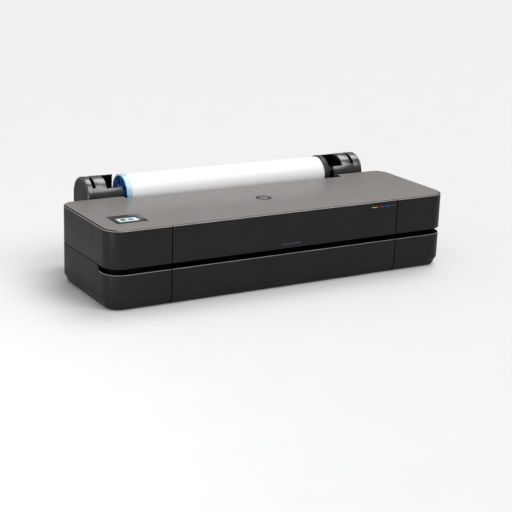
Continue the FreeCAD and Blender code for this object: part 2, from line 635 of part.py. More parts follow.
def paper_drive():
    feed = ("feed_depth", "feed_height")
    drum = rod("FeedDrum", "x", ("-paper_half + 2", "paper_half - 2"), feed, "feed_radius")
    shaft = rod("FeedShaft", "x", ("-frame_side + 3", "frame_side - 3"), feed, "4")
    node("feed_roller", fuse("FeedRoller", [drum, shaft]))
    wheel = gear("FeedGearWheel", ("-464", "-456"), *feed, "feed_gear_radius", 36, "2.5")
    node("feed_gear", cut("FeedGear", wheel, rod("FeedGearBore", "x", ("-466", "-454"), feed, "4")))
    pinion = ("pinion_depth", "pinion_height")
    small = gear("PinionWheel", ("-464", "-456"), *pinion, "pinion_radius", 12, "2.5")
    node("motor_pinion", cut("Pinion", small, rod("PinionBore", "x", ("-466", "-454"), pinion, "2.55")))
    can = rod("FeedMotorCan", "x", ("-450", "-405"), pinion, "15")
    motor_shaft = rod("FeedMotorShaft", "x", ("-466", "-448"), pinion, "2.5")
    node("feed_motor", fuse("FeedMotor", [can, motor_shaft]))

    pinch = ("feed_depth", "pinch_height")
    rollers, arms = [], []
    for index in range(10):
        x = -270 + 60 * index
        wheel = rod(f"Pinch{index}", "x", (x - 7, x + 7), pinch, "pinch_radius")
        axle = rod(f"PinchAxle{index}", "x", (x - 10, x + 10), pinch, "1.5")
        rollers.append(fuse(f"PinchWheel{index}", [wheel, axle]))
        bar = block(f"PinchBar{index}", (x - 10, x + 10), ("feed_depth - 6", "beam_front + 2"), ("98", "112"))
        mouth = block(f"PinchMouth{index}", (x - 8, x + 8), ("feed_depth - 7", "feed_depth + 7"), ("97", "113"))
        hole = rod(f"PinchHole{index}", "x", (x - 11, x + 11), pinch, "1.56")
        riser = block(f"PinchRiser{index}", (x - 8, x + 8), ("beam_front - 4", "beam_front + 2"),
                      ("110", "beam_low"))
        arm = cut(f"PinchArm{index}", fuse(f"PinchSolid{index}", [bar, riser]),
                  fuse(f"PinchCut{index}", [mouth, hole]))
        arms.append(arm)
    node("pinch_rollers", group("PinchRollers", rollers))
    node("pinch_arms", group("PinchArms", arms))

    outfeed = ("outfeed_depth", "outfeed_height")
    core = rod("OutfeedShaft", "x", ("-frame_side + 3", "frame_side - 3"), outfeed, "3")
    sleeves = [rod(f"OutfeedSleeve{index}", "x", (x - 20, x + 20), outfeed, "outfeed_radius")
               for index, x in enumerate((-250, -150, -50, 50, 150, 250))]
    node("output_roller", fuse("OutputRoller", [core] + sleeves))

    plate = block("PlatenPlate", ("-paper_half", "paper_half"), ("platen_front", "platen_back"),
                  ("platen_top - 9", "platen_top - 2"))
    ribs = [block(f"PlatenRib{index}", (24 * index - 313, 24 * index - 311),
                  ("platen_front", "platen_back"), ("platen_top - 3", "platen_top"))
            for index in range(27)]
    node("platen", fuse("Platen", [plate] + ribs))

    sill = outline("DeckOuter", "wall + 0.2", "slot_low - 4", "slot_low - 1")
    sill_zone = fuse("DeckZone", [
        block("DeckZoneFront", ("-overall_width", "overall_width"), ("-1", "70"), ("0", "slot_high")),
        block("DeckZoneMiddle", ("-paper_half", "paper_half"), ("-1", "outfeed_depth - 7"), ("0", "slot_high")),
    ])
    sill = common("DeckSill", sill, sill_zone)
    screen = cut("DeckScreen", outline("ScreenOuter", "wall + 11", "slot_low - 2", "slot_high - 0.5"),
                 outline("ScreenInner", "wall + 13", "slot_low - 3", "slot_high + 2"))
    sides = [block("DeckLeft", ("-overall_width", "-paper_half - 2"), ("-1", "69"), ("0", "200")),
             block("DeckRight", ("paper_half + 2", "overall_width"), ("-1", "69"), ("0", "200"))]
    screen = common("DeckScreens", screen, fuse("DeckSides", sides))
    ends = [block("DeckEndLeft", ("-paper_half - 4", "-paper_half - 2"), ("wall + 11", "outfeed_depth - 8"),
                  ("slot_low - 2", "slot_high - 0.5")),
            block("DeckEndRight", ("paper_half + 2", "paper_half + 4"), ("wall + 11", "69"),
                  ("slot_low - 2", "slot_high - 0.5"))]
    shelf = block("DeckEndShelf", ("-paper_half - 4", "-paper_half"), ("60", "outfeed_depth - 8"),
                  ("slot_low - 4", "slot_low - 1"))
    node("output_deck", fuse("Deck", [sill, screen, shelf] + ends))


def carriage_parts():
    rod_axis = ("rod_depth", "rod_height")
    node("guide_rod", rod("GuideRod", "x", ("-frame_side", "frame_side"), rod_axis, "rod_radius"))
    sides = [block("SideLeft", ("-frame_side - 2", "-frame_side"), ("75", "300"), ("foot_height + 2", "180")),
             block("SideRight", ("frame_side", "frame_side + 2"), ("75", "300"), ("foot_height + 2", "180"))]
    node("side_frames", group("SideFrames", sides))
    outer = block("BeamOuter", ("-frame_side", "frame_side"), ("beam_front", "beam_back"),
                  ("beam_low", "beam_top"))
    inner = block("BeamInner", ("-frame_side - 1", "frame_side + 1"), ("beam_front + 2", "beam_back - 2"),
                  ("beam_low + 2", "beam_top - 2"))
    node("carriage_beam", cut("Beam", outer, inner))
    node("encoder_strip", block("Encoder", ("-frame_side", "frame_side"), ("233", "233.6"), ("178", "188")))

    belt_spot = ("-belt_half", "belt_half")

    def loop(name, radius, low, high):
        parts = [rod(name + "A", "z", (low, high), (belt_spot[0], "belt_depth"), radius),
                 rod(name + "B", "z", (low, high), (belt_spot[1], "belt_depth"), radius),
                 block(name + "C", belt_spot, (f"belt_depth - ({radius})", f"belt_depth + ({radius})"),
                       (low, high))]
        return fuse(name, parts)

    node("carriage_belt", cut("Belt", loop("BeltOuter", "pulley_radius + 1.5", "belt_low", "belt_high"),
                              loop("BeltInner", "pulley_radius + 0.4", "belt_low - 1", "belt_high + 1")))
    for label, x in (("drive_pulley", "belt_half"), ("idler_pulley", "-belt_half")):
        spot = (x, "belt_depth")
        wheel = rod(label + "_wheel", "z", ("belt_low", "belt_high"), spot, "pulley_radius")
        flange = rod(label + "_flange", "z", ("belt_low - 2", "belt_low - 0.4"), spot, "pulley_radius + 1.4")
        neck = rod(label + "_neck", "z", ("belt_low - 1", "belt_low + 1"), spot, "pulley_radius - 1")
        hole = rod(label + "_hole", "z", ("belt_low - 3", "belt_high + 1"), spot, "2.55")
        node(label, cut(label + "_bored", fuse(label + "_solid", [wheel, flange, neck]), hole))
    spot = ("belt_half", "belt_depth")
    can = rod("BeltMotorCan", "z", ("110", "belt_low - 4"), spot, "11.5")
    shaft = rod("BeltMotorShaft", "z", ("belt_low - 5", "belt_high + 1"), spot, "2.5")
    idler_pin = rod("IdlerPin", "z", ("beam_top - 8", "belt_high + 1"), ("-belt_half", "belt_depth"), "2.5")
    idler_arm = block("IdlerArm", ("-belt_half - 6", "-belt_half + 6"), ("belt_depth - 6", "beam_front"),
                      ("beam_top - 10", "beam_top - 6"))
    node("belt_motor", group("BeltMotor", [fuse("BeltMotorSolid", [can, shaft]),
                                           fuse("IdlerBracket", [idler_pin, idler_arm])]))

    body = block("CarriageBody", ("park - carriage_half", "park + carriage_half"),
                 ("carriage_front", "carriage_back"), ("carriage_low", "carriage_top"))
    bay = block("CarriageBay", ("park - carriage_half + 6", "park + carriage_half - 6"),
                ("carriage_front + 6", "rod_depth - 14"), ("carriage_low - 1", "carriage_top - 4"))
    bore = rod("CarriageBore", "x", ("park - 60", "park + 60"), rod_axis, "rod_radius + 0.08")
    clamp = block("CarriageClamp", ("park - 10", "park + 10"), ("carriage_back - 1", "belt_depth - 9.5"),
                  ("belt_low - 14", "belt_low - 4"))
    ears = [block(f"LatchEar{index}", (f"park + {x}", f"park + {x + 3}"), ("192", "200"),
                  ("carriage_top - 1", "carriage_top + 6")) for index, x in enumerate((-14, 11))]
    pivot = ("196", "carriage_top + 3")
    latch_pin = rod("LatchPin", "x", ("park - 14", "park + 14"), pivot, "1.2")
    solid = fuse("CarriageSolid", [cut("CarriageShell", body, bay), clamp, latch_pin] + ears)
    node("carriage", cut("Carriage", solid, bore))
    head = block("HeadBody", ("park - carriage_half + 8", "park + carriage_half - 8"),
                 ("carriage_front + 8", "rod_depth - 16"), ("carriage_low - 14", "carriage_top - 5"))
    nose = block("HeadNose", ("park - 30", "park + 30"), ("carriage_front + 16", "rod_depth - 24"),
                 ("platen_top + 1.6", "carriage_low - 13"))
    node("printhead", fuse("Printhead", [head, nose]))
    lever = block("LatchLever", ("park - 10.5", "park + 10.5"), ("176", "196"),
                  ("carriage_top + 2", "carriage_top + 4"))
    eye = rod("LatchEye", "x", ("park - 10.5", "park + 10.5"), pivot, "2.4")
    latch_bore = rod("LatchBore", "x", ("park - 20", "park + 20"), pivot, "1.25")
    node("printhead_latch", cut("Latch", fuse("LatchSolid", [lever, eye]), latch_bore))


def service_and_ink():
    outer = block("StationOuter", ("350", "450"), ("140", "218"), ("56", "90"))
    inner = block("StationInner", ("352", "448"), ("142", "216"), ("58", "91"))
    legs = [block(f"StationLeg{index}", (x, x + 8), (y, y + 8), ("foot_height + 2", "57"))
            for index, (x, y) in enumerate(((352, 142), (440, 142), (352, 208), (440, 208)))]
    node("service_station", fuse("Station", [cut("StationTray", outer, inner)] + legs))
    sled = block("SledBody", ("365", "435"), ("152", "192"), ("68", "92"))
    caps = [block(f"SledCap{index}", (x, x + 22), ("158", "186"), ("91", "97"))
            for index, x in enumerate((374, 404))]
    node("cap_sled", fuse("Sled", [sled] + caps))

    floor = block("BayFloor", ("346", "460"), ("16", "128"), ("114", "117"))
    back = block("BayBack", ("346", "460"), ("125", "128"), ("116", "182"))
    walls = [block(f"BayWall{index}", (27 * index + 347, 27 * index + 349), ("16", "126"), ("116", "150"))
             for index in range(5)]
    ears = []
    for index, x in enumerate((360, 432)):
        ears.append(rod(f"BayEar{index}", "x", (x, x + 5), ("door_pivot_depth", "door_pivot_height"), "2.6"))
        ears.append(block(f"BayArm{index}", (x, x + 5), ("door_pivot_depth", "18"),
                          ("door_pivot_height - 2", "door_pivot_height + 2")))
        ears.append(block(f"BayEarUp{index}", (x, x + 5), ("16", "22"), ("door_pivot_height", "116")))
    pin_hole = rod("BayPinHole", "x", ("340", "465"), ("door_pivot_depth", "door_pivot_height"), "1.5")
    node("ink_bay", cut("Bay", fuse("BaySolid", [floor, back] + walls + ears), pin_hole))
    cartridges = []
    for index in range(4):
        x = 27 * index + 350
        case = block(f"InkCase{index}", (x, x + 24), ("20", "124"), ("117.3", "176"))
        grip = block(f"InkGrip{index}", (x + 8, x + 16), ("16", "21"), ("130", "165"))
        cartridges.append(fuse(f"Ink{index}", [case, grip]))
    node("ink_cartridges", group("Cartridges", cartridges))

    outer = fuse("TubeOuter", [block("TubeOuterRun", ("20", "425"), ("112", "161"), ("183", "191")),
                               rod("TubeOuterBend", "z", ("183", "191"), ("425", "136.5"), "24.5")])
    inner = fuse("TubeInner", [block("TubeInnerRun", ("19", "425"), ("115", "158"), ("182", "192")),
                               rod("TubeInnerBend", "z", ("182", "192"), ("425", "136.5"), "21.5")])
    free_end = block("TubeFreeEnd", ("10", "398"), ("150", "162"), ("182", "192"))
    tube = cut("TubeOpen", cut("TubeLoop", outer, inner), free_end)
    drop = block("TubeDrop", ("398", "406"), ("158", "161"), ("carriage_top + 0.4", "191"))
    node("ink_tube_loop", fuse("Tube", [tube, drop]))


def electronics():
    board = block("BoardPlate", ("-466", "-345"), ("22", "118"), ("20", "22"))
    chips = [block(f"Chip{index}", (x, x + w), (y, y + d), ("21.5", h)) for index, (x, w, y, d, h) in
             enumerate(((-440, 30, 50, 30, 25), (-395, 18, 40, 18, 24), (-455, 14, 95, 14, 30),
                        (-380, 26, 90, 12, 34)))]
    posts = [rod(f"BoardPost{index}", "z", ("foot_height + 2", "20"), spot, "3")
             for index, spot in enumerate(((-458, 30), (-352, 30), (-458, 110), (-352, 110)))]
    node("main_board", fuse("Board", [board] + chips + posts))
    case = block("SupplyCase", ("-466", "-345"), ("128", "184"), ("foot_height + 2", "50"))
    slots = [block(f"SupplySlot{index}", (x, x + 4), ("136", "176"), ("47", "51"))
             for index, x in enumerate(range(-452, -352, 12))]
    node("power_supply", cut("Supply", case, fuse("SupplySlots", slots)))
    fan_spot = ("0", "170")
    case = block("FanCase", ("-42", "42"), ("128", "212"), ("foot_height + 2", "45"))
    bore = rod("FanBore", "z", ("foot_height + 5", "46"), fan_spot, "37")
    hub_post = rod("FanPost", "z", ("foot_height + 4", "30"), fan_spot, "3")
    node("vacuum_fan", fuse("Fan", [cut("FanShell", case, bore), hub_post]))
    hub = rod("RotorHub", "z", ("20", "42"), fan_spot, "14")
    blades = [hub]
    for index in range(9):
        blade = doc.addObject("Part::Box", f"RotorBlade{index}")
        bind(blade, "Length", "22")
        bind(blade, "Width", "2")
        bind(blade, "Height", "18")
        turn = FreeCAD.Rotation(FreeCAD.Vector(0, 0, 1), 40 * index)
        offset = turn.multVec(FreeCAD.Vector(12, -1, 0))
        spot = FreeCAD.Vector(value(fan_spot[0]), value(depth(fan_spot[1])), 22) + offset
        blade.Placement = FreeCAD.Placement(spot, turn)
        blades.append(blade)
    bore = rod("RotorBore", "z", ("19", "31"), fan_spot, "3.1")
    node("fan_rotor", cut("Rotor", fuse("RotorSolid", blades), bore))


def check_and_write():
    """Stop on any failed object, then write one STEP file for each sub-part."""
    doc.recompute()
    for item in doc.Objects:
        if any(word in item.State for word in ("Invalid", "Error")):
            raise RuntimeError(f"{item.Name} failed: {item.State}")
    for item in NODES:
        shape = item.Shape
        if shape.isNull() or not shape.isValid() or not shape.Solids:
            raise RuntimeError(f"{item.Label} has no valid shape")
        print(f"{item.Label}: {len(shape.Solids)} solid(s), {shape.Volume / 1000:.1f} cm3")
    os.makedirs("parts", exist_ok=True)
    for item in NODES:
        item.Shape.exportStep(f"parts/{item.Label}.step")
    print(len(NODES), "nodes")


for build in (lower_covers, upper_covers, base, lid, roll_supports, rear_housing, roll, paper_drive,
              carriage_parts, service_and_ink, electronics):
    build()
check_and_write()
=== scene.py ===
"""Look of a desktop roll-fed plotter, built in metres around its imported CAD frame."""

import json
import logging
import math
from dataclasses import dataclass, field
from enum import Enum
from typing import Callable, Iterable, Sequence

import bmesh
import bpy
from mathutils import Matrix, Vector

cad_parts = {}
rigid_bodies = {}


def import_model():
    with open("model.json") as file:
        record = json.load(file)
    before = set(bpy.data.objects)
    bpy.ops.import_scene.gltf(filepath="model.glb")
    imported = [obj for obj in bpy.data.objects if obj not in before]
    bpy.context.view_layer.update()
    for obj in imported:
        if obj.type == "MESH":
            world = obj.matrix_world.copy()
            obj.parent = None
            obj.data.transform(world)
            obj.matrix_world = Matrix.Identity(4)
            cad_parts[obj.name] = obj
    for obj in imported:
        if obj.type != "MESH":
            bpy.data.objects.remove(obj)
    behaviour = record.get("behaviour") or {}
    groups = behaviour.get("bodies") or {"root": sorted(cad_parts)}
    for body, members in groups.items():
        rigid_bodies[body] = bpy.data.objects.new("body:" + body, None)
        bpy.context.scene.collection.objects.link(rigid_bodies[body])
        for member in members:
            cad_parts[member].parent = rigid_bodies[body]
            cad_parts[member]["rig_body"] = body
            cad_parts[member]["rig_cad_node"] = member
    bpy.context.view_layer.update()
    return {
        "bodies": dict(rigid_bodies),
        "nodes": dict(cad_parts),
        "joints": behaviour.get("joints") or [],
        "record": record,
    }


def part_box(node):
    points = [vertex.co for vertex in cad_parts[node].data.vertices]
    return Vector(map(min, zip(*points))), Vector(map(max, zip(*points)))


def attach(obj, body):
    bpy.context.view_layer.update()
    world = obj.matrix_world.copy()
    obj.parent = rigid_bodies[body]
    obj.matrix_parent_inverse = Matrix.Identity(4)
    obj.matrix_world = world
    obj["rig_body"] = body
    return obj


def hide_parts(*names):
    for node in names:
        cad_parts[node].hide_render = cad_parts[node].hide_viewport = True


MM = 0.001
LOG = logging.getLogger("plotter")

Colour = tuple[float, float, float]
Point2 = tuple[float, float]


# ---------------------------------------------------------------- shader node helpers

class NodeBench:
    """Short-hand for wiring one shader node tree."""

    def __init__(self, tree: bpy.types.NodeTree) -> None:
        """Hold the tree that the nodes go in."""
        self.tree = tree

    def add(self, kind: str, **settings: object) -> bpy.types.Node:
        """Add a node and set its properties.

        Args:
            kind: Blender's class name of the node.
            settings: properties of the node by name.

        Returns:
            The new node.
        """
        node = self.tree.nodes.new(kind)
        for name, setting in settings.items():
            setattr(node, name, setting)
        return node

    def link(self, source: bpy.types.NodeSocket, target: bpy.types.NodeSocket) -> None:
        """Join an output to an input."""
        self.tree.links.new(source, target)

    def math(self, operation: str, first: object, second: object = None,
             third: object = None, clamp: bool = False) -> bpy.types.NodeSocket:
        """Add a Math node over sockets or plain numbers.

        Args:
            operation: the Math node's operation.
            first: socket or number.
            second: socket, number or None.
            third: socket, number or None.
            clamp: whether the result is held between 0 and 1.

        Returns:
            The node's output.
        """
        node = self.add("ShaderNodeMath", operation=operation, use_clamp=clamp)
        for index, item in enumerate((first, second, third)):
            if item is None:
                continue
            if isinstance(item, bpy.types.NodeSocket):
                self.link(item, node.inputs[index])
            else:
                node.inputs[index].default_value = item
        return node.outputs[0]

    def mix(self, mask: bpy.types.NodeSocket, low: object, high: object) -> bpy.types.NodeSocket:
        """Blend two colours, each a socket or a plain colour, by a mask."""
        node = self.add("ShaderNodeMix", data_type="RGBA", clamp_factor=True)
        self.link(mask, node.inputs[0])
        for socket, item in ((node.inputs[6], low), (node.inputs[7], high)):
            if isinstance(item, bpy.types.NodeSocket):
                self.link(item, socket)
            else:
                socket.default_value = (*item, 1.0)
        return node.outputs[2]

    def noise(self, vector: bpy.types.NodeSocket, scale: object, detail: float = 2.0,
              rough: float = 0.5) -> bpy.types.NodeSocket:
        """Add a noise texture and return its value."""
        node = self.add("ShaderNodeTexNoise")
        self.link(vector, node.inputs["Vector"])
        if isinstance(scale, bpy.types.NodeSocket):
            self.link(scale, node.inputs["Scale"])
        else:
            node.inputs["Scale"].default_value = scale
        node.inputs["Detail"].default_value = detail
        node.inputs["Roughness"].default_value = rough
        return node.outputs["Fac"]


class Effect(Enum):
    """Shared shader groups."""

    GRAIN = "moulded_grain"
    MOTTLE = "soft_mottle"
    DUST = "resting_dust"
    RINGS = "wound_rings"
    BRUSH = "drawn_lines"


class EffectLibrary:
    """Builds each shared shader group once."""

    def __init__(self) -> None:
        """Start with no groups."""
        self.groups: dict[Effect, bpy.types.NodeTree] = {}
        self.makers: dict[Effect, Callable[[NodeBench, bpy.types.Node, bpy.types.Node], None]] = {
            Effect.GRAIN: self._grain,
            Effect.MOTTLE: self._mottle,
            Effect.DUST: self._dust,
            Effect.RINGS: self._rings,
            Effect.BRUSH: self._brush,
        }

    def get(self, effect: Effect) -> bpy.types.NodeTree:
        """Return an effect's group, building it at first use."""
        if effect not in self.groups:
            tree = bpy.data.node_groups.new(effect.value, "ShaderNodeTree")
            face = tree.interface
            face.new_socket("Place", in_out="INPUT", socket_type="NodeSocketVector")
            scale = face.new_socket("Scale", in_out="INPUT", socket_type="NodeSocketFloat")
            scale.default_value = 100.0
            amount = face.new_socket("Amount", in_out="INPUT", socket_type="NodeSocketFloat")
            amount.default_value = 1.0
            face.new_socket("Mask", in_out="OUTPUT", socket_type="NodeSocketFloat")
            bench = NodeBench(tree)
            self.makers[effect](bench, bench.add("NodeGroupInput"), bench.add("NodeGroupOutput"))
            self.groups[effect] = tree
        return self.groups[effect]

    @staticmethod
    def _grain(bench: NodeBench, source: bpy.types.Node, sink: bpy.types.Node) -> None:
        """Fine spark-eroded texture: a cell pattern broken up by noise."""
        cells = bench.add("ShaderNodeTexVoronoi", feature="SMOOTH_F1")
        bench.link(source.outputs["Place"], cells.inputs["Vector"])
        bench.link(source.outputs["Scale"], cells.inputs["Scale"])
        fine = bench.noise(source.outputs["Place"],
                           bench.math("MULTIPLY", source.outputs["Scale"], 2.1), 3.0, 0.6)
        both = bench.math("ADD", cells.outputs["Distance"], fine)
        bench.link(bench.math("MULTIPLY", both, source.outputs["Amount"]), sink.inputs["Mask"])

    @staticmethod
    def _mottle(bench: NodeBench, source: bpy.types.Node, sink: bpy.types.Node) -> None:
        """Slow cloudy change, such as handling marks and uneven gloss."""
        cloud = bench.noise(source.outputs["Place"], source.outputs["Scale"], 5.0, 0.55)
        spread = bench.math("MULTIPLY_ADD", cloud, 2.2, -0.6, clamp=True)
        bench.link(bench.math("MULTIPLY", spread, source.outputs["Amount"]), sink.inputs["Mask"])

    @staticmethod
    def _dust(bench: NodeBench, source: bpy.types.Node, sink: bpy.types.Node) -> None:
        """Specks that settle on faces that look up."""
        shape = bench.add("ShaderNodeNewGeometry")
        split = bench.add("ShaderNodeSeparateXYZ")
        bench.link(shape.outputs["Normal"], split.inputs[0])
        up = bench.math("MULTIPLY_ADD", split.outputs["Z"], 2.0, -1.0, clamp=True)
        specks = bench.noise(source.outputs["Place"], source.outputs["Scale"], 6.0, 0.7)
        sparse = bench.math("MULTIPLY_ADD", specks, 6.0, -3.4, clamp=True)
        both = bench.math("MULTIPLY", up, sparse)
        bench.link(bench.math("MULTIPLY", both, source.outputs["Amount"]), sink.inputs["Mask"])

    @staticmethod
    def _rings(bench: NodeBench, source: bpy.types.Node, sink: bpy.types.Node) -> None:
        """Fine rings about the X axis, as on the end of a wound roll."""
        split = bench.add("ShaderNodeSeparateXYZ")
        bench.link(source.outputs["Place"], split.inputs[0])
        across = bench.math("POWER", split.outputs["Y"], 2.0)
        along = bench.math("POWER", split.outputs["Z"], 2.0)
        radius = bench.math("SQRT", bench.math("ADD", across, along))
        phase = bench.math("MULTIPLY", radius, source.outputs["Scale"])
        wave = bench.math("MULTIPLY_ADD", bench.math("SINE", phase), 0.5, 0.5)
        bench.link(bench.math("MULTIPLY", wave, source.outputs["Amount"]), sink.inputs["Mask"])

    @staticmethod
    def _brush(bench: NodeBench, source: bpy.types.Node, sink: bpy.types.Node) -> None:
        """Long fine lines along X, left by drawing, rolling or grinding."""
        squash = bench.add("ShaderNodeMapping")
        squash.inputs["Scale"].default_value = (0.02, 1.0, 1.0)
        bench.link(source.outputs["Place"], squash.inputs["Vector"])
        lines = bench.noise(squash.outputs[0], source.outputs["Scale"], 3.0, 0.6)
        bench.link(bench.math("MULTIPLY", lines, source.outputs["Amount"]), sink.inputs["Mask"])


EFFECTS = EffectLibrary()


@dataclass(frozen=True)
class Finish:
    """One surface finish: its colour, gloss and the small detail that breaks them up."""

    name: str
    colour: Colour
    rough: float
    specular: float = 0.5
    metallic: float = 0.0
    coat: float = 0.0
    coat_rough: float = 0.05
    shade: float = 0.12
    smudge: float = 0.06
    grain: float = 0.10
    grain_scale: float = 1400.0
    dust: float = 0.04
    pattern: Effect = Effect.GRAIN
    centre: tuple[float, float, float] = (0.0, 0.0, 0.0)
    transmission: float = 0.0
    emission: float = 0.0
    cloud_scale: float = 9.0

    def effect(self, bench: NodeBench, effect: Effect, place: bpy.types.NodeSocket,
               scale: float, amount: float) -> bpy.types.NodeSocket:
        """Place a shared effect in this material.

        Args:
            bench: the material's bench.
            effect: which shared group.
            place: coordinates.
            scale: size of the pattern, per metre.
            amount: strength of the result.

        Returns:
            The group's mask.
        """
        node = bench.add("ShaderNodeGroup")
        node.node_tree = EFFECTS.get(effect)
        bench.link(place, node.inputs["Place"])
        node.inputs["Scale"].default_value = scale
        node.inputs["Amount"].default_value = amount
        return node.outputs["Mask"]

    def build(self) -> bpy.types.Material:
        """Make the material, or return it if it is made already."""
        title = self.name + "_surface"
        known = bpy.data.materials.get(title)
        if known is not None:
            return known
        material = bpy.data.materials.new(title)
        material.use_nodes = True
        bench = NodeBench(material.node_tree)
        shader = material.node_tree.nodes["Principled BSDF"]
        shader.inputs["Metallic"].default_value = self.metallic
        shader.inputs["Specular IOR Level"].default_value = self.specular
        shader.inputs["Coat Weight"].default_value = self.coat
        shader.inputs["Coat Roughness"].default_value = self.coat_rough
        shader.inputs["Transmission Weight"].default_value = self.transmission
        place = bench.add("ShaderNodeTexCoord").outputs["Object"]
        if any(self.centre):
            centre = bench.add("ShaderNodeMapping")
            centre.inputs["Location"].default_value = tuple(-value for value in self.centre)
            bench.link(place, centre.inputs["Vector"])
            place = centre.outputs[0]
        self.colour_nodes(bench, shader, place)
        self.gloss_nodes(bench, shader, place)
        return material

    def colour_nodes(self, bench: NodeBench, shader: bpy.types.Node,
                     place: bpy.types.NodeSocket) -> None:
        """Wire base colour: cloudy shade, the pattern and a little dust."""
        cloud = self.effect(bench, Effect.MOTTLE, place, self.cloud_scale, 1.0)
        dark = tuple(value * (1.0 - self.shade) for value in self.colour)
        light = tuple(min(1.0, value * (1.0 + self.shade)) for value in self.colour)
        colour = bench.mix(cloud, dark, light)
        if self.pattern is not Effect.GRAIN:
            lines = self.effect(bench, self.pattern, place, self.grain_scale, 1.0)
            darker = tuple(value * (1.0 - 2.5 * self.shade) for value in self.colour)
            colour = bench.mix(lines, darker, colour)
        if self.dust:
            specks = self.effect(bench, Effect.DUST, place, 900.0, self.dust)
            colour = bench.mix(specks, colour, (0.45, 0.43, 0.40))
        bench.link(colour, shader.inputs["Base Color"])
        if self.emission:
            bench.link(colour, shader.inputs["Emission Color"])
            shader.inputs["Emission Strength"].default_value = self.emission

    def gloss_nodes(self, bench: NodeBench, shader: bpy.types.Node,
                    place: bpy.types.NodeSocket) -> None:
        """Wire roughness and bump."""
        smear = self.effect(bench, Effect.MOTTLE, place, 23.0, self.smudge)
        grain = self.effect(bench, self.pattern, place, self.grain_scale, 1.0)
        base = bench.math("ADD", smear, self.rough - self.smudge / 2)
        fine = bench.math("MULTIPLY_ADD", grain, self.smudge / 2, base, clamp=True)
        bench.link(fine, shader.inputs["Roughness"])
        bump = bench.add("ShaderNodeBump")
        bump.inputs["Strength"].default_value = self.grain
        bump.inputs["Distance"].default_value = 0.0002
        bench.link(grain, bump.inputs["Height"])
        bench.link(bump.outputs["Normal"], shader.inputs["Normal"])


@dataclass(frozen=True)
class Dash:
    """One printed dash on a vertical face: its place and colour."""

    left: float
    right: float
    low: float
    high: float
    colour: Colour


@dataclass(frozen=True)
class PrintedFinish(Finish):
    """Cover plastic with short printed dashes on its front face."""

    dashes: tuple[Dash, ...] = ()

    def colour_nodes(self, bench: NodeBench, shader: bpy.types.Node,
                     place: bpy.types.NodeSocket) -> None:
        """Wire the plain plastic, then lay each dash over it."""
        super().colour_nodes(bench, shader, place)
        link = shader.inputs["Base Color"].links[0]
        colour = link.from_socket
        split = bench.add("ShaderNodeSeparateXYZ")
        bench.link(place, split.inputs[0])
        for dash in self.dashes:
            across = self.span(bench, split.outputs["X"], dash.left, dash.right)
            upright = self.span(bench, split.outputs["Z"], dash.low, dash.high)
            colour = bench.mix(bench.math("MULTIPLY", across, upright), colour, dash.colour)
        bench.link(colour, shader.inputs["Base Color"])

    @staticmethod
    def span(bench: NodeBench, value: bpy.types.NodeSocket, low: float, high: float
             ) -> bpy.types.NodeSocket:
        """Mask that is 1 between two limits."""
        above = bench.math("GREATER_THAN", value, low)
        below = bench.math("LESS_THAN", value, high)
        return bench.math("MULTIPLY", above, below)


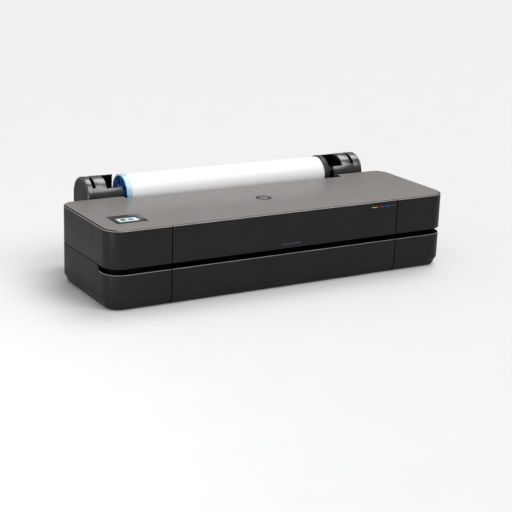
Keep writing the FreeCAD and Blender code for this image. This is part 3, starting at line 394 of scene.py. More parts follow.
class Finishes:
    """Every finish on the machine, named for the piece that wears it, with the painted highlight and
    painted shade named as such.
    """

    COVER = Finish("cover_plastic", (0.0170, 0.0170, 0.0173), 0.34, 0.06, grain=0.10, smudge=0.05,
                   dust=0.008)
    # Light grey on the near-black covers' rounded top edges: a painted highlight for the bright line of
    # light those edges catch.
    RIM_HIGHLIGHT = Finish("cover_rim", (0.27, 0.27, 0.265), 0.26, 0.5, coat=0.4, grain=0.03, smudge=0.1,
                 shade=0.25, dust=0.0)
    # Near-black for seam ends, plate edges and support hollows: painted shade for the shadow in gaps and
    # recesses.
    SEAM_SHADE = Finish("cover_seam", (0.0015, 0.0015, 0.0015), 0.9, 0.02, grain=0.02, dust=0.0)
    HOUSING = Finish("housing_plastic", (0.0105, 0.0105, 0.0108), 0.5, 0.2, grain=0.2,
                     grain_scale=1100.0)
    INNER = Finish("inner_plastic", (0.0050, 0.0050, 0.0053), 0.6, 0.15, grain=0.2, dust=0.01)
    DECK = Finish("deck_plastic", (0.0015, 0.0015, 0.0016), 0.8, 0.03, grain=0.2, dust=0.0)
    PLATE = Finish("top_finish", (0.197, 0.180, 0.174), 0.38, 0.35, coat=0.1, coat_rough=0.3,
                   shade=0.03, grain=0.08, grain_scale=2600.0, dust=0.03)
    BEZEL = Finish("bezel_gloss", (0.012, 0.0125, 0.014), 0.2, 0.12, coat=0.1, grain=0.02, dust=0.02)
    SCREEN = Finish("screen_glass", (0.62, 0.72, 0.70), 0.15, 0.3, shade=0.08, grain=0.01,
                    emission=0.25, dust=0.0)
    ICON_GREEN = Finish("icon_green", (0.01, 0.16, 0.05), 0.2, emission=0.05, dust=0.0)
    ICON_BLUE = Finish("icon_blue", (0.04, 0.26, 0.42), 0.2, emission=0.05, dust=0.0)
    LIGHT = Finish("light_bar", (0.035, 0.045, 0.095), 0.25, 0.2, emission=0.15, shade=0.2)
    SUPPORT = Finish("support_gloss", (0.004, 0.004, 0.0045), 0.24, 0.8, coat=0.6, coat_rough=0.18,
                     grain=0.06, grain_scale=500.0, smudge=0.10, pattern=Effect.BRUSH)
    CAP_FACE = Finish("support_cap", (0.009, 0.009, 0.0095), 0.4, 0.11, grain=0.12, dust=0.0)
    CONNECTOR = Finish("connector_plastic", (0.011, 0.011, 0.011), 0.45, grain=0.15)
    BUSH = Finish("bush_nylon", (0.020, 0.020, 0.020), 0.45)
    SHAFT = Finish("shaft_plastic", (0.016, 0.016, 0.016), 0.35, pattern=Effect.BRUSH,
                   grain_scale=1500.0)
    HUB_FACE = Finish("hub_blue", (0.018, 0.125, 0.44), 0.25, coat=0.3, shade=0.6, smudge=0.15,
                      cloud_scale=70.0, dust=0.0)
    HUB_RING = Finish("hub_blue_clear", (0.46, 0.68, 0.94), 0.2, coat=0.2, shade=0.16, cloud_scale=45.0,
                      dust=0.0)
    HUB_BLACK = Finish("hub_black", (0.010, 0.010, 0.010), 0.4)
    GEAR = Finish("gear_nylon", (0.60, 0.59, 0.54), 0.42)
    BRASS = Finish("gear_brass", (0.62, 0.44, 0.16), 0.3, metallic=1.0, pattern=Effect.BRUSH)
    ZINC = Finish("zinc_sheet", (0.46, 0.47, 0.48), 0.38, metallic=0.9, shade=0.16,
                  pattern=Effect.BRUSH, grain_scale=500.0)
    STEEL = Finish("steel_bright", (0.62, 0.62, 0.63), 0.2, metallic=1.0, pattern=Effect.BRUSH)
    MOTOR = Finish("motor_steel", (0.42, 0.42, 0.43), 0.34, metallic=1.0, pattern=Effect.BRUSH)
    ALUMINIUM = Finish("beam_aluminium", (0.62, 0.62, 0.63), 0.4, metallic=1.0, pattern=Effect.BRUSH)
    GRIT = Finish("roller_grit", (0.30, 0.30, 0.30), 0.55, metallic=0.8, grain=0.6, grain_scale=4000.0)
    RUBBER = Finish("roller_rubber", (0.03, 0.03, 0.03), 0.7, 0.3, grain=0.25)
    FOOT = Finish("foot_rubber", (0.02, 0.02, 0.02), 0.8, 0.3, grain=0.3)
    BELT = Finish("belt_rubber", (0.015, 0.015, 0.015), 0.65, 0.3, grain=0.3)
    FILM = Finish("strip_film", (0.45, 0.45, 0.46), 0.15, transmission=0.4, dust=0.0)
    HEAD = Finish("head_plastic", (0.055, 0.056, 0.06), 0.4)
    SLED = Finish("sled_plastic", (0.18, 0.18, 0.19), 0.5)
    LATCH = Finish("latch_blue", (0.015, 0.12, 0.45), 0.3, shade=0.2)
    TANK = Finish("cartridge_plastic", (0.02, 0.02, 0.022), 0.35, coat=0.1)
    TUBE = Finish("tube_silicone", (0.09, 0.09, 0.095), 0.35, pattern=Effect.BRUSH)
    BOARD = Finish("board_green", (0.008, 0.075, 0.03), 0.35, coat=0.3, shade=0.3, grain_scale=700.0)
    PAPER = Finish("paper_white", (0.92, 0.92, 0.925), 0.62, 0.3, shade=0.012, smudge=0.03, grain=0.05,
                   grain_scale=3200.0, dust=0.0)
    PAPER_END = Finish("paper_edge", (0.80, 0.80, 0.80), 0.7, 0.2, shade=0.06, pattern=Effect.RINGS,
                       grain_scale=9000.0, grain=0.3, dust=0.0, centre=(0.0, 0.150, 0.200))
    CORE = Finish("core_board", (0.34, 0.24, 0.14), 0.75, 0.2, pattern=Effect.BRUSH, grain_scale=260.0)
    EMBLEM = Finish("emblem_gloss", (0.010, 0.0095, 0.0095), 0.3, 0.1, grain=0.02)
    FLOOR = Finish("studio_floor", (0.74, 0.74, 0.745), 0.6, 0.15, shade=0.01, grain=0.02, dust=0.0)


FRONT_PRINT = PrintedFinish(
    "cover_plastic_printed", Finishes.COVER.colour, Finishes.COVER.rough, Finishes.COVER.specular,
    grain=Finishes.COVER.grain, smudge=Finishes.COVER.smudge, dust=Finishes.COVER.dust,
    dashes=(
        Dash(0.254, 0.272, 0.1882, 0.1900, (0.52, 0.46, 0.03)),
        Dash(0.277, 0.292, 0.1882, 0.1900, (0.32, 0.015, 0.08)),
        Dash(0.296, 0.313, 0.1882, 0.1900, (0.01, 0.13, 0.26)),
        Dash(0.316, 0.333, 0.1885, 0.1898, (0.08, 0.08, 0.08)),
    ),
)


# ---------------------------------------------------------------- mesh helpers

class Workshop:
    """Turns points and faces into finished pieces that ride on the frame."""

    def __init__(self, frame: dict) -> None:
        """Keep the frame and the slot of every node."""
        self.nodes: dict[str, bpy.types.Object] = frame["nodes"]
        self.slots = {part["node"]: part["material_slot"] for part in frame["record"]["subparts"]}
        self.bodies = {node: body for body, members in frame["record"]["behaviour"]["bodies"].items()
                       for node in members}
        self.done: set[str] = set()

    @staticmethod
    def mesh_object(name: str, verts: Sequence[Sequence[float]], faces: Sequence[Sequence[int]]
                    ) -> bpy.types.Object:
        """Make a linked object from plain vertices and faces, with its faces turned outwards."""
        mesh = bpy.data.meshes.new(name)
        mesh.from_pydata(verts, [], faces)
        build = bmesh.new()
        build.from_mesh(mesh)
        bmesh.ops.remove_doubles(build, verts=build.verts, dist=1e-7)
        bmesh.ops.recalc_face_normals(build, faces=build.faces)
        build.to_mesh(mesh)
        build.free()
        item = bpy.data.objects.new(name, mesh)
        bpy.context.scene.collection.objects.link(item)
        return item

    @staticmethod
    def apply(item: bpy.types.Object) -> None:
        """Bake the object's modifiers into its mesh."""
        graph = bpy.context.evaluated_depsgraph_get()
        baked = bpy.data.meshes.new_from_object(item.evaluated_get(graph))
        old = item.data
        item.modifiers.clear()
        item.data = baked
        baked.name = item.name
        bpy.data.meshes.remove(old)

    @staticmethod
    def smooth(item: bpy.types.Object, angle: float = 32.0) -> None:
        """Shade smooth, with edges sharper than an angle in degrees kept crisp."""
        item.data.polygons.foreach_set("use_smooth", [True] * len(item.data.polygons))
        item.data.set_sharp_from_angle(angle=math.radians(angle))

    def bevel(self, item: bpy.types.Object, width: float, segments: int = 2,
              angle: float = 32.0) -> None:
        """Round every edge sharper than an angle and bake it."""
        rounding = item.modifiers.new("rounding", "BEVEL")
        rounding.width = width
        rounding.segments = segments
        rounding.limit_method = "ANGLE"
        rounding.angle_limit = math.radians(angle)
        self.apply(item)

    def carve(self, item: bpy.types.Object, cutters: Iterable[bpy.types.Object],
              operation: str = "DIFFERENCE") -> None:
        """Cut (or join) other meshes out of an object and bake it."""
        for cutter in cutters:
            step = item.modifiers.new("carve", "BOOLEAN")
            step.operation = operation
            step.solver = "EXACT"
            step.object = cutter
            self.apply(item)
            mesh = cutter.data
            bpy.data.objects.remove(cutter)
            bpy.data.meshes.remove(mesh)

    def box(self, name: str, low: Sequence[float], high: Sequence[float]) -> bpy.types.Object:
        """Box between two corners."""
        spans = list(zip(low, high))
        verts = [(x, y, z) for x in spans[0] for y in spans[1] for z in spans[2]]
        faces = [(0, 1, 3, 2), (4, 6, 7, 5), (0, 4, 5, 1), (2, 3, 7, 6), (0, 2, 6, 4), (1, 5, 7, 3)]
        return self.mesh_object(name, verts, faces)

    def lathe(self, name: str, profile: Sequence[Point2], centre: Point2, steps: int = 96,
              spiral: float = 0.0) -> bpy.types.Object:
        """Turn an (x, radius) profile about the line through centre that runs along X.

        Args:
            name: the object's name.
            profile: closed loop of (x, radius) pairs.
            centre: y and z of the axis.
            steps: facets round the axis.
            spiral: how much the radius grows over one turn, as a share.

        Returns:
            The new object.
        """
        verts, faces = [], []
        count = len(profile)
        for step in range(steps + (1 if spiral else 0)):
            turn = 2.0 * math.pi * step / steps
            grow = 1.0 + spiral * step / steps
            for x, radius in profile:
                verts.append((x, centre[0] + radius * grow * math.cos(turn),
                              centre[1] + radius * grow * math.sin(turn)))
        rows = steps if not spiral else steps + 1
        for row in range(rows if not spiral else steps):
            following = (row + 1) % rows
            for index in range(count):
                after = (index + 1) % count
                faces.append((row * count + index, row * count + after,
                              following * count + after, following * count + index))
        if spiral:
            faces.append(tuple(range(count)))
            faces.append(tuple(steps * count + index for index in range(count)))
        return self.mesh_object(name, verts, faces)

    def prism(self, name: str, outline: Sequence[Point2], layers: Sequence[tuple[float, float]],
              axis: str = "x") -> bpy.types.Object:
        """Stack copies of an outline along an axis, each drawn in by an inset, and close the ends.

        Args:
            name: the object's name.
            outline: closed loop of points in the other two axes, anticlockwise.
            layers: (place along the axis, inset) pairs.
            axis: "x" or "z".

        Returns:
            The new object.
        """
        count = len(outline)
        normals = [self.corner_normal(outline, index) for index in range(count)]
        verts, faces = [], []
        for place, inset in layers:
            for (first, second), (n_first, n_second) in zip(outline, normals):
                moved = (first - n_first * inset, second - n_second * inset)
                verts.append((place, *moved) if axis == "x" else (*moved, place))
        for row in range(len(layers) - 1):
            for index in range(count):
                after = (index + 1) % count
                faces.append((row * count + index, row * count + after,
                              (row + 1) * count + after, (row + 1) * count + index))
        faces.append(tuple(range(count)))
        faces.append(tuple((len(layers) - 1) * count + index for index in range(count)))
        return self.mesh_object(name, verts, faces)

    @staticmethod
    def corner_normal(outline: Sequence[Point2], index: int) -> Point2:
        """Outward mitre at a point of an anticlockwise outline."""
        before = Vector(outline[index - 1])
        here = Vector(outline[index])
        after = Vector(outline[(index + 1) % len(outline)])
        first = (here - before).normalized()
        second = (after - here).normalized()
        mitre = Vector((first.y + second.y, -(first.x + second.x)))
        if mitre.length < 1e-9:
            return (first.y, -first.x)
        mitre.normalize()
        scale = max(0.3, mitre.dot(Vector((first.y, -first.x))))
        return (mitre.x / scale, mitre.y / scale)

    def join(self, name: str, items: Sequence[bpy.types.Object]) -> bpy.types.Object:
        """Join separate meshes into one object, keeping each one's materials."""
        first = items[0]
        with bpy.context.temp_override(active_object=first, selected_editable_objects=list(items)):
            bpy.ops.object.join()
        first.name = name
        return first

    def dress(self, item: bpy.types.Object, *finishes: Finish) -> None:
        """Give an object its materials."""
        item.data.materials.clear()
        for finish in finishes:
            item.data.materials.append(finish.build())

    def settle(self, item: bpy.types.Object, body: str, slot: str, *nodes: str) -> bpy.types.Object:
        """Ride a finished piece on its body in place of the CAD nodes that it stands for."""
        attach(item, body)
        if nodes:
            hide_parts(*nodes)
            self.done.update(nodes)
        LOG.info("%s on %s: %d faces", item.name, body, len(item.data.polygons))
        return item

    def stand_in(self, item: bpy.types.Object, node: str, *finishes: Finish) -> bpy.types.Object:
        """Dress a piece and put it in the place of one CAD node."""
        self.dress(item, *finishes)
        return self.settle(item, self.bodies[node], self.slots[node], node)

    def refined(self, node: str, finish: Finish, width: float = 0.0004, segments: int = 2
                ) -> bpy.types.Object:
        """Rebuild a CAD node as clean faces with rounded edges and smooth shading."""
        item = self.nodes[node].copy()
        item.data = self.nodes[node].data.copy()
        item.name = node + "_body"
        item.parent = None
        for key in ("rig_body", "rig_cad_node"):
            if key in item:
                del item[key]
        bpy.context.scene.collection.objects.link(item)
        build = bmesh.new()
        build.from_mesh(item.data)
        bmesh.ops.remove_doubles(build, verts=build.verts, dist=2e-6)
        bmesh.ops.dissolve_limit(build, angle_limit=math.radians(0.6), verts=build.verts,
                                 edges=build.edges)
        build.to_mesh(item.data)
        build.free()
        if width:
            self.bevel(item, width, segments)
        self.smooth(item)
        return self.stand_in(item, node, finish)


def arc(centre: Point2, radius: float, start: float, end: float, steps: int) -> list[Point2]:
    """Points on an arc between two angles in degrees, both ends included."""
    turns = [math.radians(start + (end - start) * step / steps) for step in range(steps + 1)]
    return [(centre[0] + radius * math.cos(turn), centre[1] + radius * math.sin(turn))
            for turn in turns]


def heading(azimuth: float, elevation: float) -> Vector:
    """Direction seen from the machine, in degrees round from its front and above the floor."""
    across, rise = math.radians(azimuth), math.radians(elevation)
    return Vector((math.sin(across) * math.cos(rise), -math.cos(across) * math.cos(rise),
                   math.sin(rise)))


# ---------------------------------------------------------------- swept covers

@dataclass
class Station:
    """One place on the outline's path: its point, outward normal and distance along the path."""

    x: float
    y: float
    normal: Point2
    along: float = 0.0


@dataclass
class OutlinePath:
    """The machine's rounded outline from the front seam round its left end to the rear seam."""

    half_width: float
    front: float
    back: float
    corner: float
    arc_steps: int = 22
    straight_step: float = 0.03

    def stations(self, start: float, end: float, marks: Sequence[float] = ()) -> list[Station]:
        """List stations between two distances along the path.

        Args:
            start: distance from the middle of the front.
            end: distance at which the piece ends.
            marks: distances that get close stations, for small steps in the piece.

        Returns:
            Stations in order, with close ones at both ends for the edge rounding.
        """
        bend = math.pi / 2 * self.corner
        run = self.half_width - self.corner
        side = self.back - self.front - 2 * self.corner
        knots = [0.0, run, run + bend, run + bend + side, run + 2 * bend + side,
                 2 * run + 2 * bend + side]
        places = {start, end}
        for edge in (0.00008, 0.00025, 0.0005, 0.0009):
            places.update((start + edge, end - edge))
        for low, high, count in (
            (knots[0], knots[1], int(run / self.straight_step)), (knots[1], knots[2], self.arc_steps),
            (knots[2], knots[3], int(side / self.straight_step)), (knots[3], knots[4], self.arc_steps),
            (knots[4], knots[5], int(run / self.straight_step)),
        ):
            places.update(low + (high - low) * step / count for step in range(count + 1))
        for mark in marks:
            places.update(mark + 0.0012 * step for step in range(-12, 13))
        kept = sorted(place for place in places if start - 1e-9 <= place <= end + 1e-9)
        return [self.at(place, knots) for place in kept]

    def at(self, place: float, knots: Sequence[float]) -> Station:
        """Station at a distance along the path."""
        left, radius = -self.half_width, self.corner
        if place <= knots[1]:
            return Station(-place, self.front, (0.0, -1.0), place)
        if place <= knots[2]:
            turn = (place - knots[1]) / radius
            normal = (-math.sin(turn), -math.cos(turn))
            return Station(left + radius + radius * normal[0], self.front + radius + radius * normal[1],
                           normal, place)
        if place <= knots[3]:
            return Station(left, self.front + radius + place - knots[2], (-1.0, 0.0), place)
        if place <= knots[4]:
            turn = (place - knots[3]) / radius
            normal = (-math.cos(turn), math.sin(turn))
            return Station(left + radius + radius * normal[0], self.back - radius + radius * normal[1],
                           normal, place)
        return Station(left + radius + place - knots[4], self.back, (0.0, 1.0), place)


Profile = Callable[[Station], list[Point2]]


class PanelMaker:
    """Sweeps a wall's section along the outline to make one cover."""

    EDGE = 0.0009
    # Faces in this band under a rounded top edge, with upward slopes in this range, take the painted
    # highlight.
    RIM_BAND = 0.0022
    RIM_SLOPES = (0.25, 0.97)
    # Width of the near-black painted shade strip beside each seam.
    SEAM_STRIP = 0.0014

    def __init__(self, workshop: Workshop) -> None:
        """Keep the workshop that finishes the covers."""
        self.workshop = workshop

    def sweep(self, name: str, stations: Sequence[Station], section: Profile, flip: bool = False,
              rim_at: Sequence[float] = ()) -> bpy.types.Object:
        """Make a closed wall from sections at each station.

        Args:
            name: the object's name.
            stations: places along the outline.
            section: closed loop of (inset, height) pairs at a station, the outer face first.
            flip: whether the piece is the mirror image, at the machine's right.
            rim_at: heights of the rounded edges whose faces get a painted highlight.

        Returns:
            The new object.
        """
        verts, faces = [], []
        side = -1.0 if flip else 1.0
        start, end = stations[0].along, stations[-1].along
        for station in stations:
            near = min(station.along - start, end - station.along)
            short = self.EDGE - min(near, self.EDGE)
            fall = self.EDGE - math.sqrt(max(0.0, self.EDGE ** 2 - short ** 2))
            loop = section(station)
            mid = sum(inset for inset, _ in loop) / len(loop)
            level = sum(height for _, height in loop) / len(loop)
            for inset, height in loop:
                inset = inset + fall * (1 if inset < mid else -1) * 0.5
                height = height + fall * (1 if height < level else -1) * 0.5
                verts.append((side * (station.x - station.normal[0] * inset),
                              station.y - station.normal[1] * inset, height))
        count = len(section(stations[0]))
        for row in range(len(stations) - 1):
            for index in range(count):
                after = (index + 1) % count
                faces.append((row * count + index, row * count + after,
                              (row + 1) * count + after, (row + 1) * count + index))
        faces.append(tuple(range(count)))
        faces.append(tuple((len(stations) - 1) * count + index for index in range(count)))
        item = self.workshop.mesh_object(name, verts, faces)
        self.workshop.smooth(item, 40.0)
        self.workshop.dress(item, Finishes.COVER, Finishes.RIM_HIGHLIGHT, Finishes.SEAM_SHADE)
        # Rounded top-edge faces take the light rim colour, a painted highlight.
        for face in item.data.polygons:
            level = face.center.z
            near = any(height - self.RIM_BAND < level < height - 0.05 * MM for height in rim_at)
            if near and self.RIM_SLOPES[0] < face.normal.z < self.RIM_SLOPES[1]:
                face.material_index = 1
        # Seam ends and the strips beside them take near-black painted shade.
        self.darken_ends(item, stations, count)
        return item

    def darken_ends(self, item: bpy.types.Object, stations: Sequence[Station], count: int) -> None:
        """Paint near-black shade on both end faces and on the narrow rounded strips beside them,
        standing in for the shadow in the seam's gap.
        """
        start, end = stations[0].along, stations[-1].along
        faces = item.data.polygons
        for row in range(len(stations) - 1):
            nearest = min(stations[row + 1].along - start, end - stations[row].along)
            if nearest < self.SEAM_STRIP:
                for index in range(count):
                    faces[row * count + index].material_index = 2
        for face in (faces[-2], faces[-1]):
            face.material_index = 2


@dataclass
class Casing:
    """The lower and upper covers round the machine, with the paper slot between them."""

    workshop: Workshop
    corner: float = 45 * MM
    wall: float = 3 * MM
    foot: float = 3 * MM
    skirt_top: float = 24 * MM
    skirt_inset: float = 10 * MM
    slot_low: float = 93 * MM
    slot_high: float = 108 * MM
    split_low: float = 106.5 * MM
    slot_back: float = 66 * MM
    slot_taper: float = 13 * MM
    seam: float = 338 * MM
    seam_gap: float = 0.5 * MM
    cover_top: float = 203 * MM
    rim: float = 2.0 * MM
    slot_rim: float = 1.4 * MM
    lip: float = 1.0 * MM
    lip_low: float = 192.5 * MM
    door_back: float = 60 * MM
    flange: float = 7 * MM
    flange_low: float = 188.5 * MM
    lid_low: float = 202.5 * MM

    def __post_init__(self) -> None:
        """Take the outline's place from the frame."""
        low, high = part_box("lower_left_cover")
        self.front = low[1]
        self.back = high[1]
        self.path = OutlinePath(-low[0], self.front, self.back, self.corner)
        self.maker = PanelMaker(self.workshop)
        bend = math.pi / 2 * self.corner
        run = self.path.half_width - self.corner
        self.side_start = run + bend
        self.rear_end = 2 * run + 2 * bend + (self.back - self.front - 2 * self.corner)

    def place_of_depth(self, depth: float) -> float:
        """Distance along the path of a depth on the side's straight stretch."""
        return self.side_start + depth - self.corner

    def lower_top(self, station: Station) -> float:
        """Height of the lower covers' top edge, which steps up behind the paper slot."""
        step = self.place_of_depth(self.slot_back)
        share = (station.along - step) / self.slot_taper + 0.5
        share = min(1.0, max(0.0, share))
        return self.slot_low + (self.split_low - self.slot_low) * share * share * (3 - 2 * share)

    def rounded_rim(self, inset: float, top: float, radius: float, steps: int = 4) -> list[Point2]:
        """Quarter round from an upright face to a level top."""
        return [(inset + radius - radius * math.cos(math.radians(90 * step / steps)),
                 top - radius + radius * math.sin(math.radians(90 * step / steps)))
                for step in range(steps + 1)]

    def lower_section(self, station: Station) -> list[Point2]:
        """Section of a side's lower wall, whose top edge rises at the slot's end."""
        return self.lower_loop(self.lower_top(station))

    def lower_front_section(self, station: Station) -> list[Point2]:
        """Section of the lower front panel, level under the paper slot."""
        return self.lower_loop(self.slot_low)

    def lower_loop(self, top: float) -> list[Point2]:
        """Section of the lower wall with its sloped skirt, up to a top edge."""
        slope = self.skirt_inset / (self.skirt_top - self.foot)
        loop = [(self.skirt_inset + 0.4 * MM, self.foot),
                (self.skirt_inset - 0.4 * MM, self.foot + 0.6 * MM)]
        for share in (0.35, 0.7):
            height = self.foot + (self.skirt_top - self.foot) * share
            loop.append((self.skirt_inset - slope * (height - self.foot), height))
        loop += [(slope * 1.6 * MM, self.skirt_top - 1.6 * MM),
                 (slope * 0.35 * MM, self.skirt_top - 0.2 * MM),
                 (0.02 * MM, self.skirt_top + 0.9 * MM), (0.0, self.skirt_top + 2.2 * MM),
                 (0.0, self.skirt_top + 0.5 * (top - self.skirt_top))]
        loop += self.rounded_rim(0.0, top, self.slot_rim)
        loop += [(self.wall - 0.3 * MM, top), (self.wall, top - 0.3 * MM),
                 (self.wall, self.skirt_top), (self.wall + self.skirt_inset, self.foot)]
        return loop

    def upper_section(self, station: Station) -> list[Point2]:
        """Section of the upper wall, thinned at the rear for the lid's edge."""
        lip = self.lip if station.y > self.front + 302 * MM else self.wall
        top = self.cover_top
        rim = min(self.rim, lip * 0.7)
        loop = [(0.5 * MM, self.slot_high), (0.12 * MM, self.slot_high + 0.15 * MM),
                (0.0, self.slot_high + 0.5 * MM), (0.0, 0.5 * (self.slot_high + top))]
        loop += self.rounded_rim(0.0, top, rim)
        loop += [(lip - 0.1 * MM, top), (lip, top - 0.2 * MM), (lip, self.lip_low + 0.2 * MM),
                 (self.wall, self.lip_low), (self.wall, self.slot_high)]
        return loop

    def front_section(self, station: Station) -> list[Point2]:
        """Section of the main cover's front with its joining flange."""
        loop = [(0.5 * MM, self.slot_high), (0.12 * MM, self.slot_high + 0.15 * MM),
                (0.0, self.slot_high + 0.5 * MM), (0.0, 0.5 * (self.slot_high + self.cover_top))]
        loop += self.rounded_rim(0.0, self.cover_top, self.rim)
        loop += [(self.wall, self.cover_top), (self.wall, self.lid_low), (self.flange, self.lid_low),
                 (self.flange, self.flange_low), (self.wall, self.flange_low - 2 * MM),
                 (self.wall, self.slot_high)]
        return loop

    def lug(self, name: str, x: Point2, depth: float, height: float, radius: float, reach: float
            ) -> bpy.types.Object:
        """Small ear with a round top that holds a hinge pin."""
        y = self.front + depth
        outline = arc((y, height), radius, 0.0, 180.0, 14)
        outline += [(y - radius, height - reach), (y + radius, height - reach)]
        item = self.workshop.prism(name, outline, [(x[0], 0.0), (x[1], 0.0)])
        self.workshop.smooth(item)
        self.workshop.dress(item, Finishes.COVER)
        return item

    def fit(self, item: bpy.types.Object, node: str) -> None:
        """Put a dressed cover in the place of its CAD node."""
        self.workshop.settle(item, self.workshop.bodies[node], self.workshop.slots[node], node)

    def build(self) -> None:
        """Make all seven covers."""
        shop = self.workshop
        start = self.seam + self.seam_gap
        end = self.rear_end - (self.seam + self.seam_gap)
        step = self.place_of_depth(self.slot_back)
        for node, flip in (("lower_left_cover", False), ("lower_right_cover", True)):
            stations = self.path.stations(start, end, marks=(step,))
            item = self.maker.sweep(node + "_shell", stations, self.lower_section, flip,
                                    (self.slot_low,))
            self.fit(item, node)
        half = self.seam - self.seam_gap
        shares = (0.0, 0.0001, 0.0003, 0.0007, 0.0014, 0.1, 0.25, 0.5, 0.75, 0.9, 0.9986, 0.9993,
                  0.9997, 0.9999, 1.0)
        straight = [Station(half - 2 * half * share, self.front, (0.0, -1.0), 2 * half * share)
                    for share in shares]
        item = self.maker.sweep("lower_front_shell", straight, self.lower_front_section,
                                rim_at=(self.slot_low,))
        self.fit(item, "lower_front_panel")
        tops = (self.cover_top,)
        front = self.maker.sweep("main_cover_front_shell", straight, self.front_section, rim_at=tops)
        low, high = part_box("status_light_bar")
        window = shop.box("light_window", (low[0], low[1] - 3 * MM, low[2]),
                          (high[0], high[1] + 1 * MM, high[2]))
        shop.carve(front, [window])
        shop.smooth(front, 40.0)
        front.data.materials[0] = FRONT_PRINT.build()
        self.fit(front, "main_cover_front")

        lid_pin = (309.5 * MM, 199.5 * MM, 2.8 * MM, 12 * MM)
        left = self.maker.sweep("upper_left_wall", self.path.stations(start, end), self.upper_section,
                                rim_at=tops)
        ears = [self.lug(f"left_ear_{index}", x, *lid_pin)
                for index, x in enumerate(((-346 * MM, -341 * MM), (-358 * MM, -353 * MM)))]
        self.fit(shop.join("upper_left_shell", [left, *ears]), "upper_left_cover")
        door_end = self.place_of_depth(self.door_back)
        beyond = self.path.stations(door_end + 2 * self.seam_gap, end)
        right = self.maker.sweep("upper_right_wall", beyond, self.upper_section, True, tops)
        ears = [self.lug(f"right_ear_{index}", x, *lid_pin)
                for index, x in enumerate(((341 * MM, 346 * MM), (353 * MM, 358 * MM)))]
        self.fit(shop.join("upper_right_shell", [right, *ears]), "upper_right_cover")
        door = self.maker.sweep("ink_door_wall", self.path.stations(start, door_end),
                                self.upper_section, True, tops)
        ears = [self.lug(f"door_ear_{index}", x, 6 * MM, 110.5 * MM, 3.0 * MM, 1.5 * MM)
                for index, x in enumerate(((352 * MM, 357 * MM), (440 * MM, 445 * MM)))]
        self.fit(shop.join("ink_door_shell", [door, *ears]), "ink_door")


# ---------------------------------------------------------------- lid

